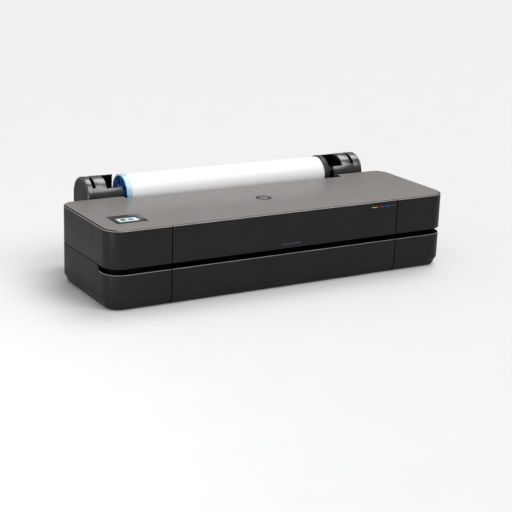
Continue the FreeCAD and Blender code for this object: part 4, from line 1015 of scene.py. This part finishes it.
@dataclass
class Lid:
    """Top plate, emblem, control bezel and display."""

    workshop: Workshop
    corner: float = 41 * MM
    notch_left: float = -328 * MM
    notch_right: float = 347 * MM
    notch_depth: float = 27 * MM
    notch_corner: float = 10 * MM
    edge: float = 0.5 * MM
    swing_gap: float = 0.7 * MM
    emblem_centre: Point2 = (9 * MM, -67 * MM)
    emblem_radius: float = 24 * MM
    icon_radius: float = 8.5 * MM

    def plate_outline(self) -> list[Point2]:
        """Outline of the top plate, anticlockwise from its front left corner."""
        low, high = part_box("top_plate")
        left, right, front, back = low[0], high[0], low[1], high[1] - self.swing_gap
        radius = self.corner
        rear_centre = front + (305.0 - 36.0) * MM
        rise = math.degrees(math.asin(min(1.0, (back - rear_centre) / radius)))
        points = arc((left + radius, front + radius), radius, 180.0, 270.0, 24)
        points += arc((right - radius, front + radius), radius, 270.0, 360.0, 24)
        points += arc((right - radius, rear_centre), radius, 0.0, rise, 22)
        bend, floor = self.notch_corner, high[1] - self.notch_depth
        points.append((self.notch_right, back))
        points += arc((self.notch_right - bend, floor + bend), bend, 0.0, -90.0, 8)
        points += arc((self.notch_left + bend, floor + bend), bend, -90.0, -180.0, 8)
        points.append((self.notch_left, back))
        points += arc((left + radius, rear_centre), radius, 180.0 - rise, 180.0, 22)
        return points

    def build(self) -> None:
        """Make the plate and what is set in it."""
        shop = self.workshop
        low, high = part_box("top_plate")
        edge = self.edge
        layers = [(low[2], edge * 0.3), (low[2] + edge * 0.3, 0.0), (high[2] - edge, 0.0),
                  (high[2] - edge * 0.6, edge * 0.08), (high[2] - edge * 0.25, edge * 0.35),
                  (high[2], edge)]
        plate = shop.prism("top_plate_skin", self.plate_outline(), layers, axis="z")
        bezel_low, bezel_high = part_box("control_bezel")
        gap = 0.3 * MM
        hole = shop.box("bezel_hole", (bezel_low[0] - gap, bezel_low[1] - gap, low[2] - 1 * MM),
                        (bezel_high[0] + gap, bezel_high[1] + gap, high[2] + 1 * MM))
        shop.carve(plate, [hole])
        shop.smooth(plate)
        shop.dress(plate, Finishes.PLATE, Finishes.SEAM_SHADE)
        # The plate's left and right edge faces take near-black: painted shade for the groove between
        # plate and cover rim.
        for face in plate.data.polygons:
            if abs(face.normal.x) > 0.5:
                face.material_index = 1
        shop.settle(plate, "main_cover", "top_finish", "top_plate")
        shop.refined("control_bezel", Finishes.BEZEL, 0.35 * MM)
        self.display()
        self.emblem(high[2])

    def display(self) -> None:
        """Lit screen with two plain round icons."""
        shop = self.workshop
        screen = shop.refined("display_screen", Finishes.SCREEN, 0.2 * MM)
        low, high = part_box("display_screen")
        middle = (low[1] + high[1]) / 2
        top = high[2]
        layers = [(top - 0.1 * MM, 0.0), (top + 0.06 * MM, 0.0), (top + 0.1 * MM, 0.1 * MM)]
        icons = (("icon_left", 0.27, Finishes.ICON_GREEN), ("icon_right", 0.66, Finishes.ICON_BLUE))
        for name, share, finish in icons:
            centre = (low[0] + (high[0] - low[0]) * share, middle)
            disc = shop.prism(name, arc(centre, self.icon_radius, 0.0, 352.5, 47), layers, axis="z")
            shop.smooth(disc)
            shop.dress(disc, finish)
            shop.settle(disc, "main_cover", "screen_glass")
        LOG.info("display %s dressed", screen.name)

    def emblem(self, top: float) -> None:
        """Plain hexagonal ring set flush in the plate."""
        shop = self.workshop
        rings = []
        for radius in (self.emblem_radius, self.emblem_radius * 0.55):
            rings.append(arc(self.emblem_centre, radius, 0.0, 300.0, 5))
        verts = [(x, y, z) for z in (top - 0.3 * MM, top) for ring in rings for x, y in ring]
        faces = []
        for index in range(6):
            after = (index + 1) % 6
            faces += [(12 + index, 12 + after, 18 + after, 18 + index),
                      (index, 6 + index, 6 + after, after),
                      (index, after, 12 + after, 12 + index),
                      (6 + index, 18 + index, 18 + after, 6 + after)]
        ring = shop.mesh_object("plate_emblem", [(x, y, z + 0.02 * MM) for x, y, z in verts], faces)
        shop.dress(ring, Finishes.EMBLEM)
        shop.settle(ring, "main_cover", "bezel_gloss")


# ---------------------------------------------------------------- roll and supports

@dataclass(frozen=True)
class SupportEnds:
    """Distances of one support's faces from the middle plane."""

    side: float
    inner: float
    wall: float
    groove: float
    cap: float
    outer: float

    def span(self, low: float, high: float) -> Point2:
        """Span of x between two distances on this side, in rising order."""
        ends = sorted((self.side * low, self.side * high))
        return ends[0], ends[1]


@dataclass
class RollSupports:
    """The two arched supports with their windows, grooves and end caps."""

    workshop: Workshop
    left: SupportEnds = SupportEnds(-1.0, 323 * MM, 367 * MM, 397 * MM, 406 * MM, 422 * MM)
    right: SupportEnds = SupportEnds(1.0, 344 * MM, 376 * MM, 407 * MM, 416 * MM, 442 * MM)
    radius: float = 51.5 * MM
    pocket: float = 46 * MM
    window_low: float = 226 * MM
    window_back: float = 22 * MM
    housing_half: float = 336 * MM
    ledge_low: float = 176 * MM
    groove_low: float = 229 * MM
    groove_depth: float = 7 * MM
    rewind: Point2 = (165.8 * MM, 171.5 * MM)
    rewind_pocket: float = 14 * MM
    cap_rim: float = 3.0 * MM
    rim_steps: int = 5

    def __post_init__(self) -> None:
        """Take the roll's axis from the frame."""
        low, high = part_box("spindle_shaft")
        self.axis = ((low[1] + high[1]) / 2, (low[2] + high[2]) / 2)
        self.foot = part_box("right_roll_support")[0][2]

    def arch(self, steps: int = 72) -> list[Point2]:
        """Outline of an upright slab with a half-round top, in Y and Z."""
        y, z = self.axis
        top = arc((y, z), self.radius, 0.0, 180.0, steps)
        return top + [(y - self.radius, self.foot), (y + self.radius, self.foot)]

    def disc(self, name: str, x: Point2, centre: Point2, radius: float) -> bpy.types.Object:
        """Solid cylinder along X, for carving."""
        circle = arc(centre, radius, 0.0, 356.25, 95)
        return self.workshop.prism(name, circle, [(x[0], 0.0), (x[1], 0.0)])

    def support(self, node: str, ends: SupportEnds) -> None:
        """Carve one support from its slab.

        Args:
            node: the CAD node that it stands for.
            ends: where its faces lie.
        """
        shop = self.workshop
        y, z = self.axis
        far = 80 * MM
        body = shop.prism(node + "_arch", self.arch(),
                          [(x, 0.0) for x in ends.span(ends.inner, ends.cap)])
        low, high = ends.span(300 * MM, ends.wall)
        window = shop.box("window", (low, y - far, self.window_low),
                          (high, y + self.window_back, z + far))
        cutters = [window]
        if ends.inner < self.housing_half:
            low, high = ends.span(300 * MM, self.housing_half)
            cutters.append(shop.box("trim", (low, y - far, self.foot - far),
                                    (high, y + far, self.ledge_low)))
        deep = ends.span(300 * MM, ends.wall - 4 * MM)
        pocket = self.disc("pocket", deep, self.axis, self.pocket)
        shop.carve(pocket, [shop.box("pocket_back", (deep[0] - 1 * MM, y + self.window_back, z - far),
                                     (deep[1] + 1 * MM, y + far, z + far))])
        cutters.append(pocket)
        cutters.append(self.disc("gear_pocket", deep, self.rewind, self.rewind_pocket))
        ring = self.disc("groove", ends.span(ends.groove, ends.cap + 1 * MM), self.axis,
                         self.radius + 2 * MM)
        core = self.disc("groove_core", ends.span(ends.groove - 1 * MM, ends.cap + 2 * MM), self.axis,
                         self.radius - self.groove_depth)
        low, high = ends.span(ends.groove - 1 * MM, ends.cap + 2 * MM)
        below = shop.box("groove_below", (low, y - far, z - far), (high, y + far, self.groove_low))
        shop.carve(ring, [core, below])
        shop.carve(body, [*cutters, ring])
        shop.bevel(body, 0.5 * MM, 3, 40.0)
        shop.smooth(body, 38.0)
        shop.dress(body, Finishes.SUPPORT, Finishes.SEAM_SHADE)
        # Faces in the groove and inside the window take near-black: painted shade in these hollows.
        for face in body.data.polygons:
            x, height = abs(face.center.x), face.center.z
            from_axis = math.hypot(face.center.y - y, height - z)
            pit = ends.groove + 0.3 * MM < x < ends.cap and from_axis < self.radius - 0.8 * MM
            inside = x < ends.wall and from_axis < self.radius - 2 * MM and height > self.ledge_low
            if (pit or inside) and height > z - 40 * MM:
                face.material_index = 1
        shop.settle(body, "root", shop.slots[node], node)

    def caps(self) -> None:
        """Outer caps with a rounded glossy rim and a sunk satin face."""
        shop = self.workshop
        rim = self.cap_rim
        parts = []
        for ends in (self.left, self.right):
            layers = [(ends.cap + 0.2 * MM, 0.4 * MM), (ends.cap + 0.6 * MM, 0.0),
                      (ends.outer - rim, 0.0)]
            for step in range(1, self.rim_steps + 1):
                turn = math.radians(90 * step / self.rim_steps)
                layers.append((ends.outer - rim + rim * math.sin(turn), rim - rim * math.cos(turn)))
            layers += [(ends.outer, 4.6 * MM), (ends.outer - 0.8 * MM, 5.0 * MM)]
            cap = shop.prism("cap", self.arch(), [(ends.side * x, inset) for x, inset in layers])
            shop.smooth(cap, 40.0)
            shop.dress(cap, Finishes.SUPPORT, Finishes.CAP_FACE)
            for face in cap.data.polygons:
                if abs(face.normal.x) > 0.99 and abs(face.center.x) > ends.outer - 1.2 * MM \
                        and len(face.vertices) > 8:
                    face.material_index = 1
            parts.append(cap)
        shop.settle(shop.join("end_caps_pair", parts), "root", "support_cap", "support_end_caps")

    def build(self) -> None:
        """Make both supports and their caps."""
        self.support("left_roll_support", self.left)
        self.support("right_roll_support", self.right)
        self.caps()
        self.workshop.refined("spindle_cradles", Finishes.INNER, 0.4 * MM)


@dataclass
class Roll:
    """Paper roll on its spindle, between a blue and a black hub."""

    workshop: Workshop
    flange: float = 15 * MM
    rib_count: int = 8
    wrap_step: float = 0.006

    def __post_init__(self) -> None:
        """Take the roll's size and axis from the frame."""
        low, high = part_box("paper_roll")
        self.axis = ((low[1] + high[1]) / 2, (low[2] + high[2]) / 2)
        self.middle = (low[0] + high[0]) / 2
        self.half = (high[0] - low[0]) / 2
        self.radius = (high[2] - low[2]) / 2
        core_low, core_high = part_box("roll_core")
        self.core = (core_high[2] - core_low[2]) / 2

    def paper(self) -> None:
        """Wound paper, its outer turn ending in a visible edge."""
        shop = self.workshop
        soft = 0.3 * MM
        outer = self.radius / (1.0 + self.wrap_step)
        profile = [(-self.half, self.core), (-self.half, outer - soft), (-self.half + soft, outer),
                   (self.half - soft, outer), (self.half, outer - soft), (self.half, self.core)]
        profile = [(self.middle + x, radius) for x, radius in profile]
        roll = shop.lathe("paper_roll_wound", profile, self.axis, 144, self.wrap_step)
        shop.smooth(roll, 40.0)
        shop.dress(roll, Finishes.PAPER, Finishes.PAPER_END)
        for face in roll.data.polygons:
            if abs(face.normal.x) > 0.9:
                face.material_index = 1
        shop.settle(roll, "roll_assembly", "paper_white", "paper_roll")

    def hub(self, node: str, side: float, finishes: tuple[Finish, Finish]) -> None:
        """Flanged hub: a ring round the roll's end, a dished face with ribs and a boss."""
        shop = self.workshop
        low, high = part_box(node)
        radius = (high[2] - low[2]) / 2
        face = max(abs(low[0] - self.middle), abs(high[0] - self.middle))
        ring_end = self.half + self.flange
        bore = 13.05 * MM
        ring = [(self.half + 0.2 * MM, radius - 6 * MM), (self.half + 0.2 * MM, radius - 0.8 * MM),
                (self.half + 0.8 * MM, radius), (ring_end - 1.2 * MM, radius),
                (ring_end - 0.3 * MM, radius - 0.5 * MM), (ring_end, radius - 1.4 * MM),
                (ring_end, radius - 4 * MM), (self.half + 6 * MM, radius - 5 * MM)]
        disc = [(self.half + 0.3 * MM, bore), (self.half + 0.3 * MM, radius - 5.5 * MM),
                (self.half + 7 * MM, radius - 5.5 * MM), (self.half + 8 * MM, radius - 9 * MM),
                (self.half + 6 * MM, 30 * MM), (self.half + 9 * MM, 22 * MM), (face - 1 * MM, 20 * MM),
                (face, 19 * MM), (face, 15 * MM), (face - 2 * MM, bore)]
        rim = shop.lathe("rim", [(self.middle + side * x, r) for x, r in ring], self.axis, 96)
        plate = shop.lathe("plate", [(self.middle + side * x, r) for x, r in disc], self.axis, 96)
        shop.smooth(rim, 50.0)
        shop.smooth(plate, 40.0)
        shop.dress(rim, finishes[1])
        shop.dress(plate, finishes[0])
        ribs = []
        for index in range(self.rib_count):
            ends = sorted(self.middle + side * x for x in (self.half + 5 * MM, ring_end - 1.5 * MM))
            rib = shop.box("rib", (ends[0], -1.3 * MM, 18 * MM), (ends[1], 1.3 * MM, radius - 3 * MM))
            turn = Matrix.Rotation(2 * math.pi * index / self.rib_count, 4, "X")
            rib.data.transform(Matrix.Translation((0.0, *self.axis)) @ turn)
            shop.bevel(rib, 0.5 * MM, 2)
            shop.smooth(rib)
            shop.dress(rib, finishes[0])
            ribs.append(rib)
        plug_ends = sorted(self.middle + side * x for x in (self.half - 30 * MM, self.half + 0.3 * MM))
        plug_radius = self.core - 3 * MM
        loop = [(plug_ends[0], bore), (plug_ends[0], plug_radius), (plug_ends[1], plug_radius),
                (plug_ends[1], bore)]
        plug = shop.lathe("plug", loop, self.axis, 64)
        shop.smooth(plug)
        shop.dress(plug, finishes[0])
        hub = shop.join(node + "_moulding", [rim, plate, plug, *ribs])
        shop.settle(hub, "roll_assembly", shop.slots[node], node)

    def build(self) -> None:
        """Make the roll, its hubs and the spindle's pieces."""
        shop = self.workshop
        self.paper()
        self.hub("blue_hub", -1.0, (Finishes.HUB_FACE, Finishes.HUB_RING))
        self.hub("black_hub", 1.0, (Finishes.HUB_BLACK, Finishes.HUB_BLACK))
        shop.refined("spindle_shaft", Finishes.SHAFT, 0.8 * MM)
        shop.refined("spindle_gear", Finishes.HUB_BLACK, 0.2 * MM)
        shop.refined("rewind_gear", Finishes.HUB_BLACK, 0.2 * MM)
        shop.refined("spindle_bushes", Finishes.BUSH, 0.4 * MM)
        shop.refined("roll_core", Finishes.CORE, 0.3 * MM)


# ---------------------------------------------------------------- repeated pieces

class RowTree:
    """Geometry Nodes tree that lays copies of a piece in a straight row."""

    def __init__(self) -> None:
        """Build the tree with named inputs."""
        tree = bpy.data.node_groups.new("row_of_copies", "GeometryNodeTree")
        face = tree.interface
        face.new_socket("Geometry", in_out="INPUT", socket_type="NodeSocketGeometry")
        for name, kind in (("Copy", "NodeSocketObject"), ("Count", "NodeSocketInt"),
                           ("Start", "NodeSocketVector"), ("Step", "NodeSocketVector"),
                           ("Finish", "NodeSocketMaterial")):
            face.new_socket(name, in_out="INPUT", socket_type=kind)
        face.new_socket("Geometry", in_out="OUTPUT", socket_type="NodeSocketGeometry")
        nodes, links = tree.nodes, tree.links
        source, sink = nodes.new("NodeGroupInput"), nodes.new("NodeGroupOutput")
        line = nodes.new("GeometryNodeMeshLine")
        line.mode = "OFFSET"
        info = nodes.new("GeometryNodeObjectInfo")
        instance = nodes.new("GeometryNodeInstanceOnPoints")
        realise = nodes.new("GeometryNodeRealizeInstances")
        paint = nodes.new("GeometryNodeSetMaterial")
        links.new(source.outputs["Count"], line.inputs["Count"])
        links.new(source.outputs["Start"], line.inputs["Start Location"])
        links.new(source.outputs["Step"], line.inputs["Offset"])
        links.new(source.outputs["Copy"], info.inputs["Object"])
        links.new(line.outputs["Mesh"], instance.inputs["Points"])
        links.new(info.outputs["Geometry"], instance.inputs["Instance"])
        links.new(instance.outputs["Instances"], realise.inputs["Geometry"])
        links.new(realise.outputs["Geometry"], paint.inputs["Geometry"])
        links.new(source.outputs["Finish"], paint.inputs["Material"])
        links.new(paint.outputs["Geometry"], sink.inputs["Geometry"])
        self.tree = tree

    def lay(self, shop: Workshop, name: str, copy: bpy.types.Object, count: int, start: Sequence[float],
            step: Sequence[float], finish: Finish) -> bpy.types.Object:
        """Make a row and return it as a plain mesh.

        Args:
            shop: the workshop.
            name: the new object's name.
            copy: the piece to repeat, which is removed afterwards.
            count: how many copies.
            start: place of the first copy's own origin.
            step: offset from one copy to the next.
            finish: the finish of every copy.

        Returns:
            The finished object.
        """
        holder = shop.mesh_object(name, [(0.0, 0.0, 0.0)], [])
        modifier = holder.modifiers.new("row", "NODES")
        modifier.node_group = self.tree
        names = {item.name: item.identifier for item in self.tree.interface.items_tree
                 if item.in_out == "INPUT"}
        modifier[names["Copy"]] = copy
        modifier[names["Count"]] = count
        modifier[names["Start"]] = tuple(start)
        modifier[names["Step"]] = tuple(step)
        modifier[names["Finish"]] = finish.build()
        shop.apply(holder)
        mesh = copy.data
        bpy.data.objects.remove(copy)
        bpy.data.meshes.remove(mesh)
        shop.smooth(holder)
        return holder


@dataclass
class BackPanel:
    """Moulded rear housing with louvres, screws and sockets."""

    workshop: Workshop
    rows: RowTree
    louvre_count: int = 9
    louvre_pitch: float = 9 * MM
    louvre_start: Point2 = (150 * MM, 40 * MM)
    screw_count: int = 5
    screw_margin: float = 14 * MM
    screw_height: float = 158 * MM

    def screw_head(self, radius: float = 3.4 * MM, height: float = 0.9 * MM) -> bpy.types.Object:
        """Pan head with a cross recess, standing on the XZ plane and facing +Y."""
        shop = self.workshop
        layers = [(0.0, 0.0), (height * 0.5, 0.0), (height * 0.85, radius * 0.1), (height, radius * 0.3)]
        head = shop.prism("screw_head", arc((0.0, 0.0), radius, 0.0, 345.0, 23), layers, axis="z")
        long, short, floor = radius * 0.6, radius * 0.14, height * 0.3
        arms = [shop.box("arm", (-across, -along, floor), (across, along, height * 2))
                for across, along in ((long, short), (short, long))]
        shop.carve(head, arms)
        head.data.transform(Matrix.Rotation(math.radians(-90.0), 4, "X"))
        return head

    def build(self) -> None:
        """Make the back's pieces."""
        shop = self.workshop
        housing = shop.refined("rear_housing", Finishes.HOUSING, 0.8 * MM, 2)
        low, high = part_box("rear_housing")
        slat = shop.box("slat", (-30 * MM, -0.9 * MM, -1.2 * MM), (30 * MM, 0.3 * MM, 1.2 * MM))
        shop.bevel(slat, 0.4 * MM, 2)
        first = (self.louvre_start[0], high[1] - 0.4 * MM, self.louvre_start[1])
        rows = self.rows.lay(shop, "rear_louvres", slat, self.louvre_count, first,
                             (0.0, 0.0, self.louvre_pitch), Finishes.HOUSING)
        shop.settle(rows, "root", "housing_plastic")
        pitch = (high[0] - low[0] - 2 * self.screw_margin) / (self.screw_count - 1)
        screws = self.rows.lay(shop, "rear_screws", self.screw_head(), self.screw_count,
                               (low[0] + self.screw_margin, high[1] - 1.0 * MM, self.screw_height),
                               (pitch, 0.0, 0.0), Finishes.ZINC)
        shop.settle(screws, "root", "zinc_sheet")
        shop.refined("rear_connectors", Finishes.CONNECTOR, 0.3 * MM)
        shop.refined("power_button", Finishes.CONNECTOR, 0.6 * MM, 3)
        LOG.info("%s carries %s and %s", housing.name, rows.name, screws.name)


@dataclass
class Mechanism:
    """Everything inside: paper drive, carriage, ink, electronics."""

    workshop: Workshop
    refined_nodes: dict[str, tuple[Finish, float]] = field(default_factory=lambda: {
        "main_cover_frame": (Finishes.INNER, 0.5), "output_deck": (Finishes.DECK, 0.4),
        "platen": (Finishes.INNER, 0.3), "carriage": (Finishes.INNER, 0.8),
        "printhead": (Finishes.HEAD, 0.8),
        "printhead_latch": (Finishes.LATCH, 0.4), "carriage_beam": (Finishes.ALUMINIUM, 0.5),
        "guide_rod": (Finishes.STEEL, 0.5), "feed_roller": (Finishes.GRIT, 0.3),
        "output_roller": (Finishes.RUBBER, 0.5), "pinch_arms": (Finishes.INNER, 0.4),
        "pinch_rollers": (Finishes.RUBBER, 0.4), "ink_bay": (Finishes.INNER, 0.4),
        "ink_cartridges": (Finishes.TANK, 0.8), "service_station": (Finishes.INNER, 0.5),
        "cap_sled": (Finishes.SLED, 0.6), "feed_gear": (Finishes.GEAR, 0.2),
        "motor_pinion": (Finishes.BRASS, 0.15), "feed_motor": (Finishes.MOTOR, 0.5),
        "belt_motor": (Finishes.MOTOR, 0.4), "drive_pulley": (Finishes.BRASS, 0.2),
        "idler_pulley": (Finishes.GEAR, 0.2), "main_board": (Finishes.BOARD, 0.2),
        "power_supply": (Finishes.ZINC, 0.4), "vacuum_fan": (Finishes.HOUSING, 0.5),
        "fan_rotor": (Finishes.HOUSING, 0.3), "side_frames": (Finishes.ZINC, 0.3),
        "base_pan": (Finishes.ZINC, 0.4), "rubber_feet": (Finishes.FOOT, 0.5),
        "cover_screws": (Finishes.ZINC, 0.3), "cover_hinge_pins": (Finishes.STEEL, 0.2),
        "status_light_bar": (Finishes.LIGHT, 0.2), "encoder_strip": (Finishes.FILM, 0.0),
        "carriage_belt": (Finishes.BELT, 0.2), "ink_tube_loop": (Finishes.TUBE, 0.8),
    })

    def build(self) -> None:
        """Refine every inner node that has no special piece."""
        for node, (finish, width) in self.refined_nodes.items():
            if node not in self.workshop.done:
                self.workshop.refined(node, finish, width * MM)


# ---------------------------------------------------------------- studio

@dataclass
class Studio:
    """Pale floor, soft lights and the camera."""

    workshop: Workshop
    target: tuple[float, float, float] = (-0.0101, -0.070, 0.0463)
    azimuth: float = -30.9
    elevation: float = 16.5
    roll: float = 2.0
    distance: float = 3.475
    lens: float = 91.03
    floor_half: float = 9.0
    dome_horizon: float = 0.23
    dome_rise: float = 0.46
    dome_seen: float = 1.1

    def camera(self) -> None:
        """Stand the camera off the target by its azimuth, elevation, roll and distance."""
        back = heading(self.azimuth, self.elevation)
        azimuth = math.radians(self.azimuth)
        right = Vector((math.cos(azimuth), math.sin(azimuth), 0.0))
        up = back.cross(right)
        turn = math.radians(self.roll)
        x_axis = right * math.cos(turn) + up * math.sin(turn)
        y_axis = up * math.cos(turn) - right * math.sin(turn)
        data = bpy.data.cameras.new("studio_camera")
        data.sensor_width = 36.0
        data.lens = self.lens
        data.clip_start = 0.05
        data.clip_end = 60.0
        camera = bpy.data.objects.new("studio_camera", data)
        bpy.context.scene.collection.objects.link(camera)
        spot = Vector(self.target) + back * self.distance
        camera.matrix_world = Matrix((
            (x_axis.x, y_axis.x, back.x, spot.x), (x_axis.y, y_axis.y, back.y, spot.y),
            (x_axis.z, y_axis.z, back.z, spot.z), (0.0, 0.0, 0.0, 1.0)))
        bpy.context.scene.camera = camera

    def light(self, name: str, spot: Sequence[float], aim: Sequence[float], size: Point2,
              power: float) -> None:
        """Add one soft rectangular light aimed at a point."""
        data = bpy.data.lights.new(name, "AREA")
        data.shape = "RECTANGLE"
        data.size, data.size_y = size
        data.energy = power
        lamp = bpy.data.objects.new(name, data)
        bpy.context.scene.collection.objects.link(lamp)
        lamp.location = spot
        direction = Vector(aim) - Vector(spot)
        lamp.rotation_euler = direction.to_track_quat("-Z", "Y").to_euler()

    def build(self) -> None:
        """Set the stage."""
        self.camera()
        half = self.floor_half
        floor = self.workshop.prism("studio_floor",
                                    [(-half, -half), (half, -half), (half, half), (-half, half)],
                                    [(-0.02, 0.0), (0.0, 0.0)], axis="z")
        self.workshop.dress(floor, Finishes.FLOOR)
        world = bpy.data.worlds.new("studio_world")
        world.use_nodes = True
        self.sky(world)
        bpy.context.scene.world = world
        bpy.context.scene.view_settings.view_transform = "Standard"
        self.soft_sun("front_key", 1.35, 40.0, 26.0, 46.0)
        self.soft_sun("top_key", 1.35, 36.0, 116.0, 62.0)
        self.light("side_strip", (-1.9, -0.85, 0.24), (-0.48, -0.2, 0.10), (0.2, 0.42), 13.0)

    @staticmethod
    def soft_sun(name: str, strength: float, spread: float, azimuth: float, elevation: float) -> None:
        """Add a wide soft light that is even over the whole floor.

        Args:
            name: the light's name.
            strength: its strength.
            spread: how wide it looks, in degrees.
            azimuth: degrees round from the machine's front towards its right.
            elevation: degrees above the floor.
        """
        data = bpy.data.lights.new(name, "SUN")
        data.energy = strength
        data.angle = math.radians(spread)
        lamp = bpy.data.objects.new(name, data)
        bpy.context.scene.collection.objects.link(lamp)
        towards = heading(azimuth, elevation)
        lamp.rotation_euler = towards.to_track_quat("Z", "Y").to_euler()

    def sky(self, world: bpy.types.World) -> None:
        """White behind the object, and for lighting a soft dome that is brightest overhead."""
        bench = NodeBench(world.node_tree)
        background = world.node_tree.nodes["Background"]
        split = bench.add("ShaderNodeSeparateXYZ")
        bench.link(bench.add("ShaderNodeTexCoord").outputs["Generated"], split.inputs[0])
        height = bench.math("MAXIMUM", split.outputs["Z"], 0.0)
        dome = bench.math("MULTIPLY_ADD", height, self.dome_rise, self.dome_horizon)
        seen = bench.add("ShaderNodeLightPath").outputs["Is Camera Ray"]
        lift = bench.math("MAXIMUM", bench.math("MULTIPLY", seen, self.dome_seen), dome)
        bench.link(lift, background.inputs["Strength"])
        background.inputs["Color"].default_value = (1.0, 1.0, 1.0, 1.0)


def main() -> None:
    """Build the plotter and its studio."""
    logging.basicConfig(level=logging.INFO, format="%(message)s")
    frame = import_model()
    shop = Workshop(frame)
    studio = Studio(shop)
    studio.build()
    for part in (Casing(shop), Lid(shop), RollSupports(shop), Roll(shop), BackPanel(shop, RowTree()),
                 Mechanism(shop)):
        LOG.info("building %s", type(part).__name__)
        part.build()


if __name__ == "__main__":
    main()
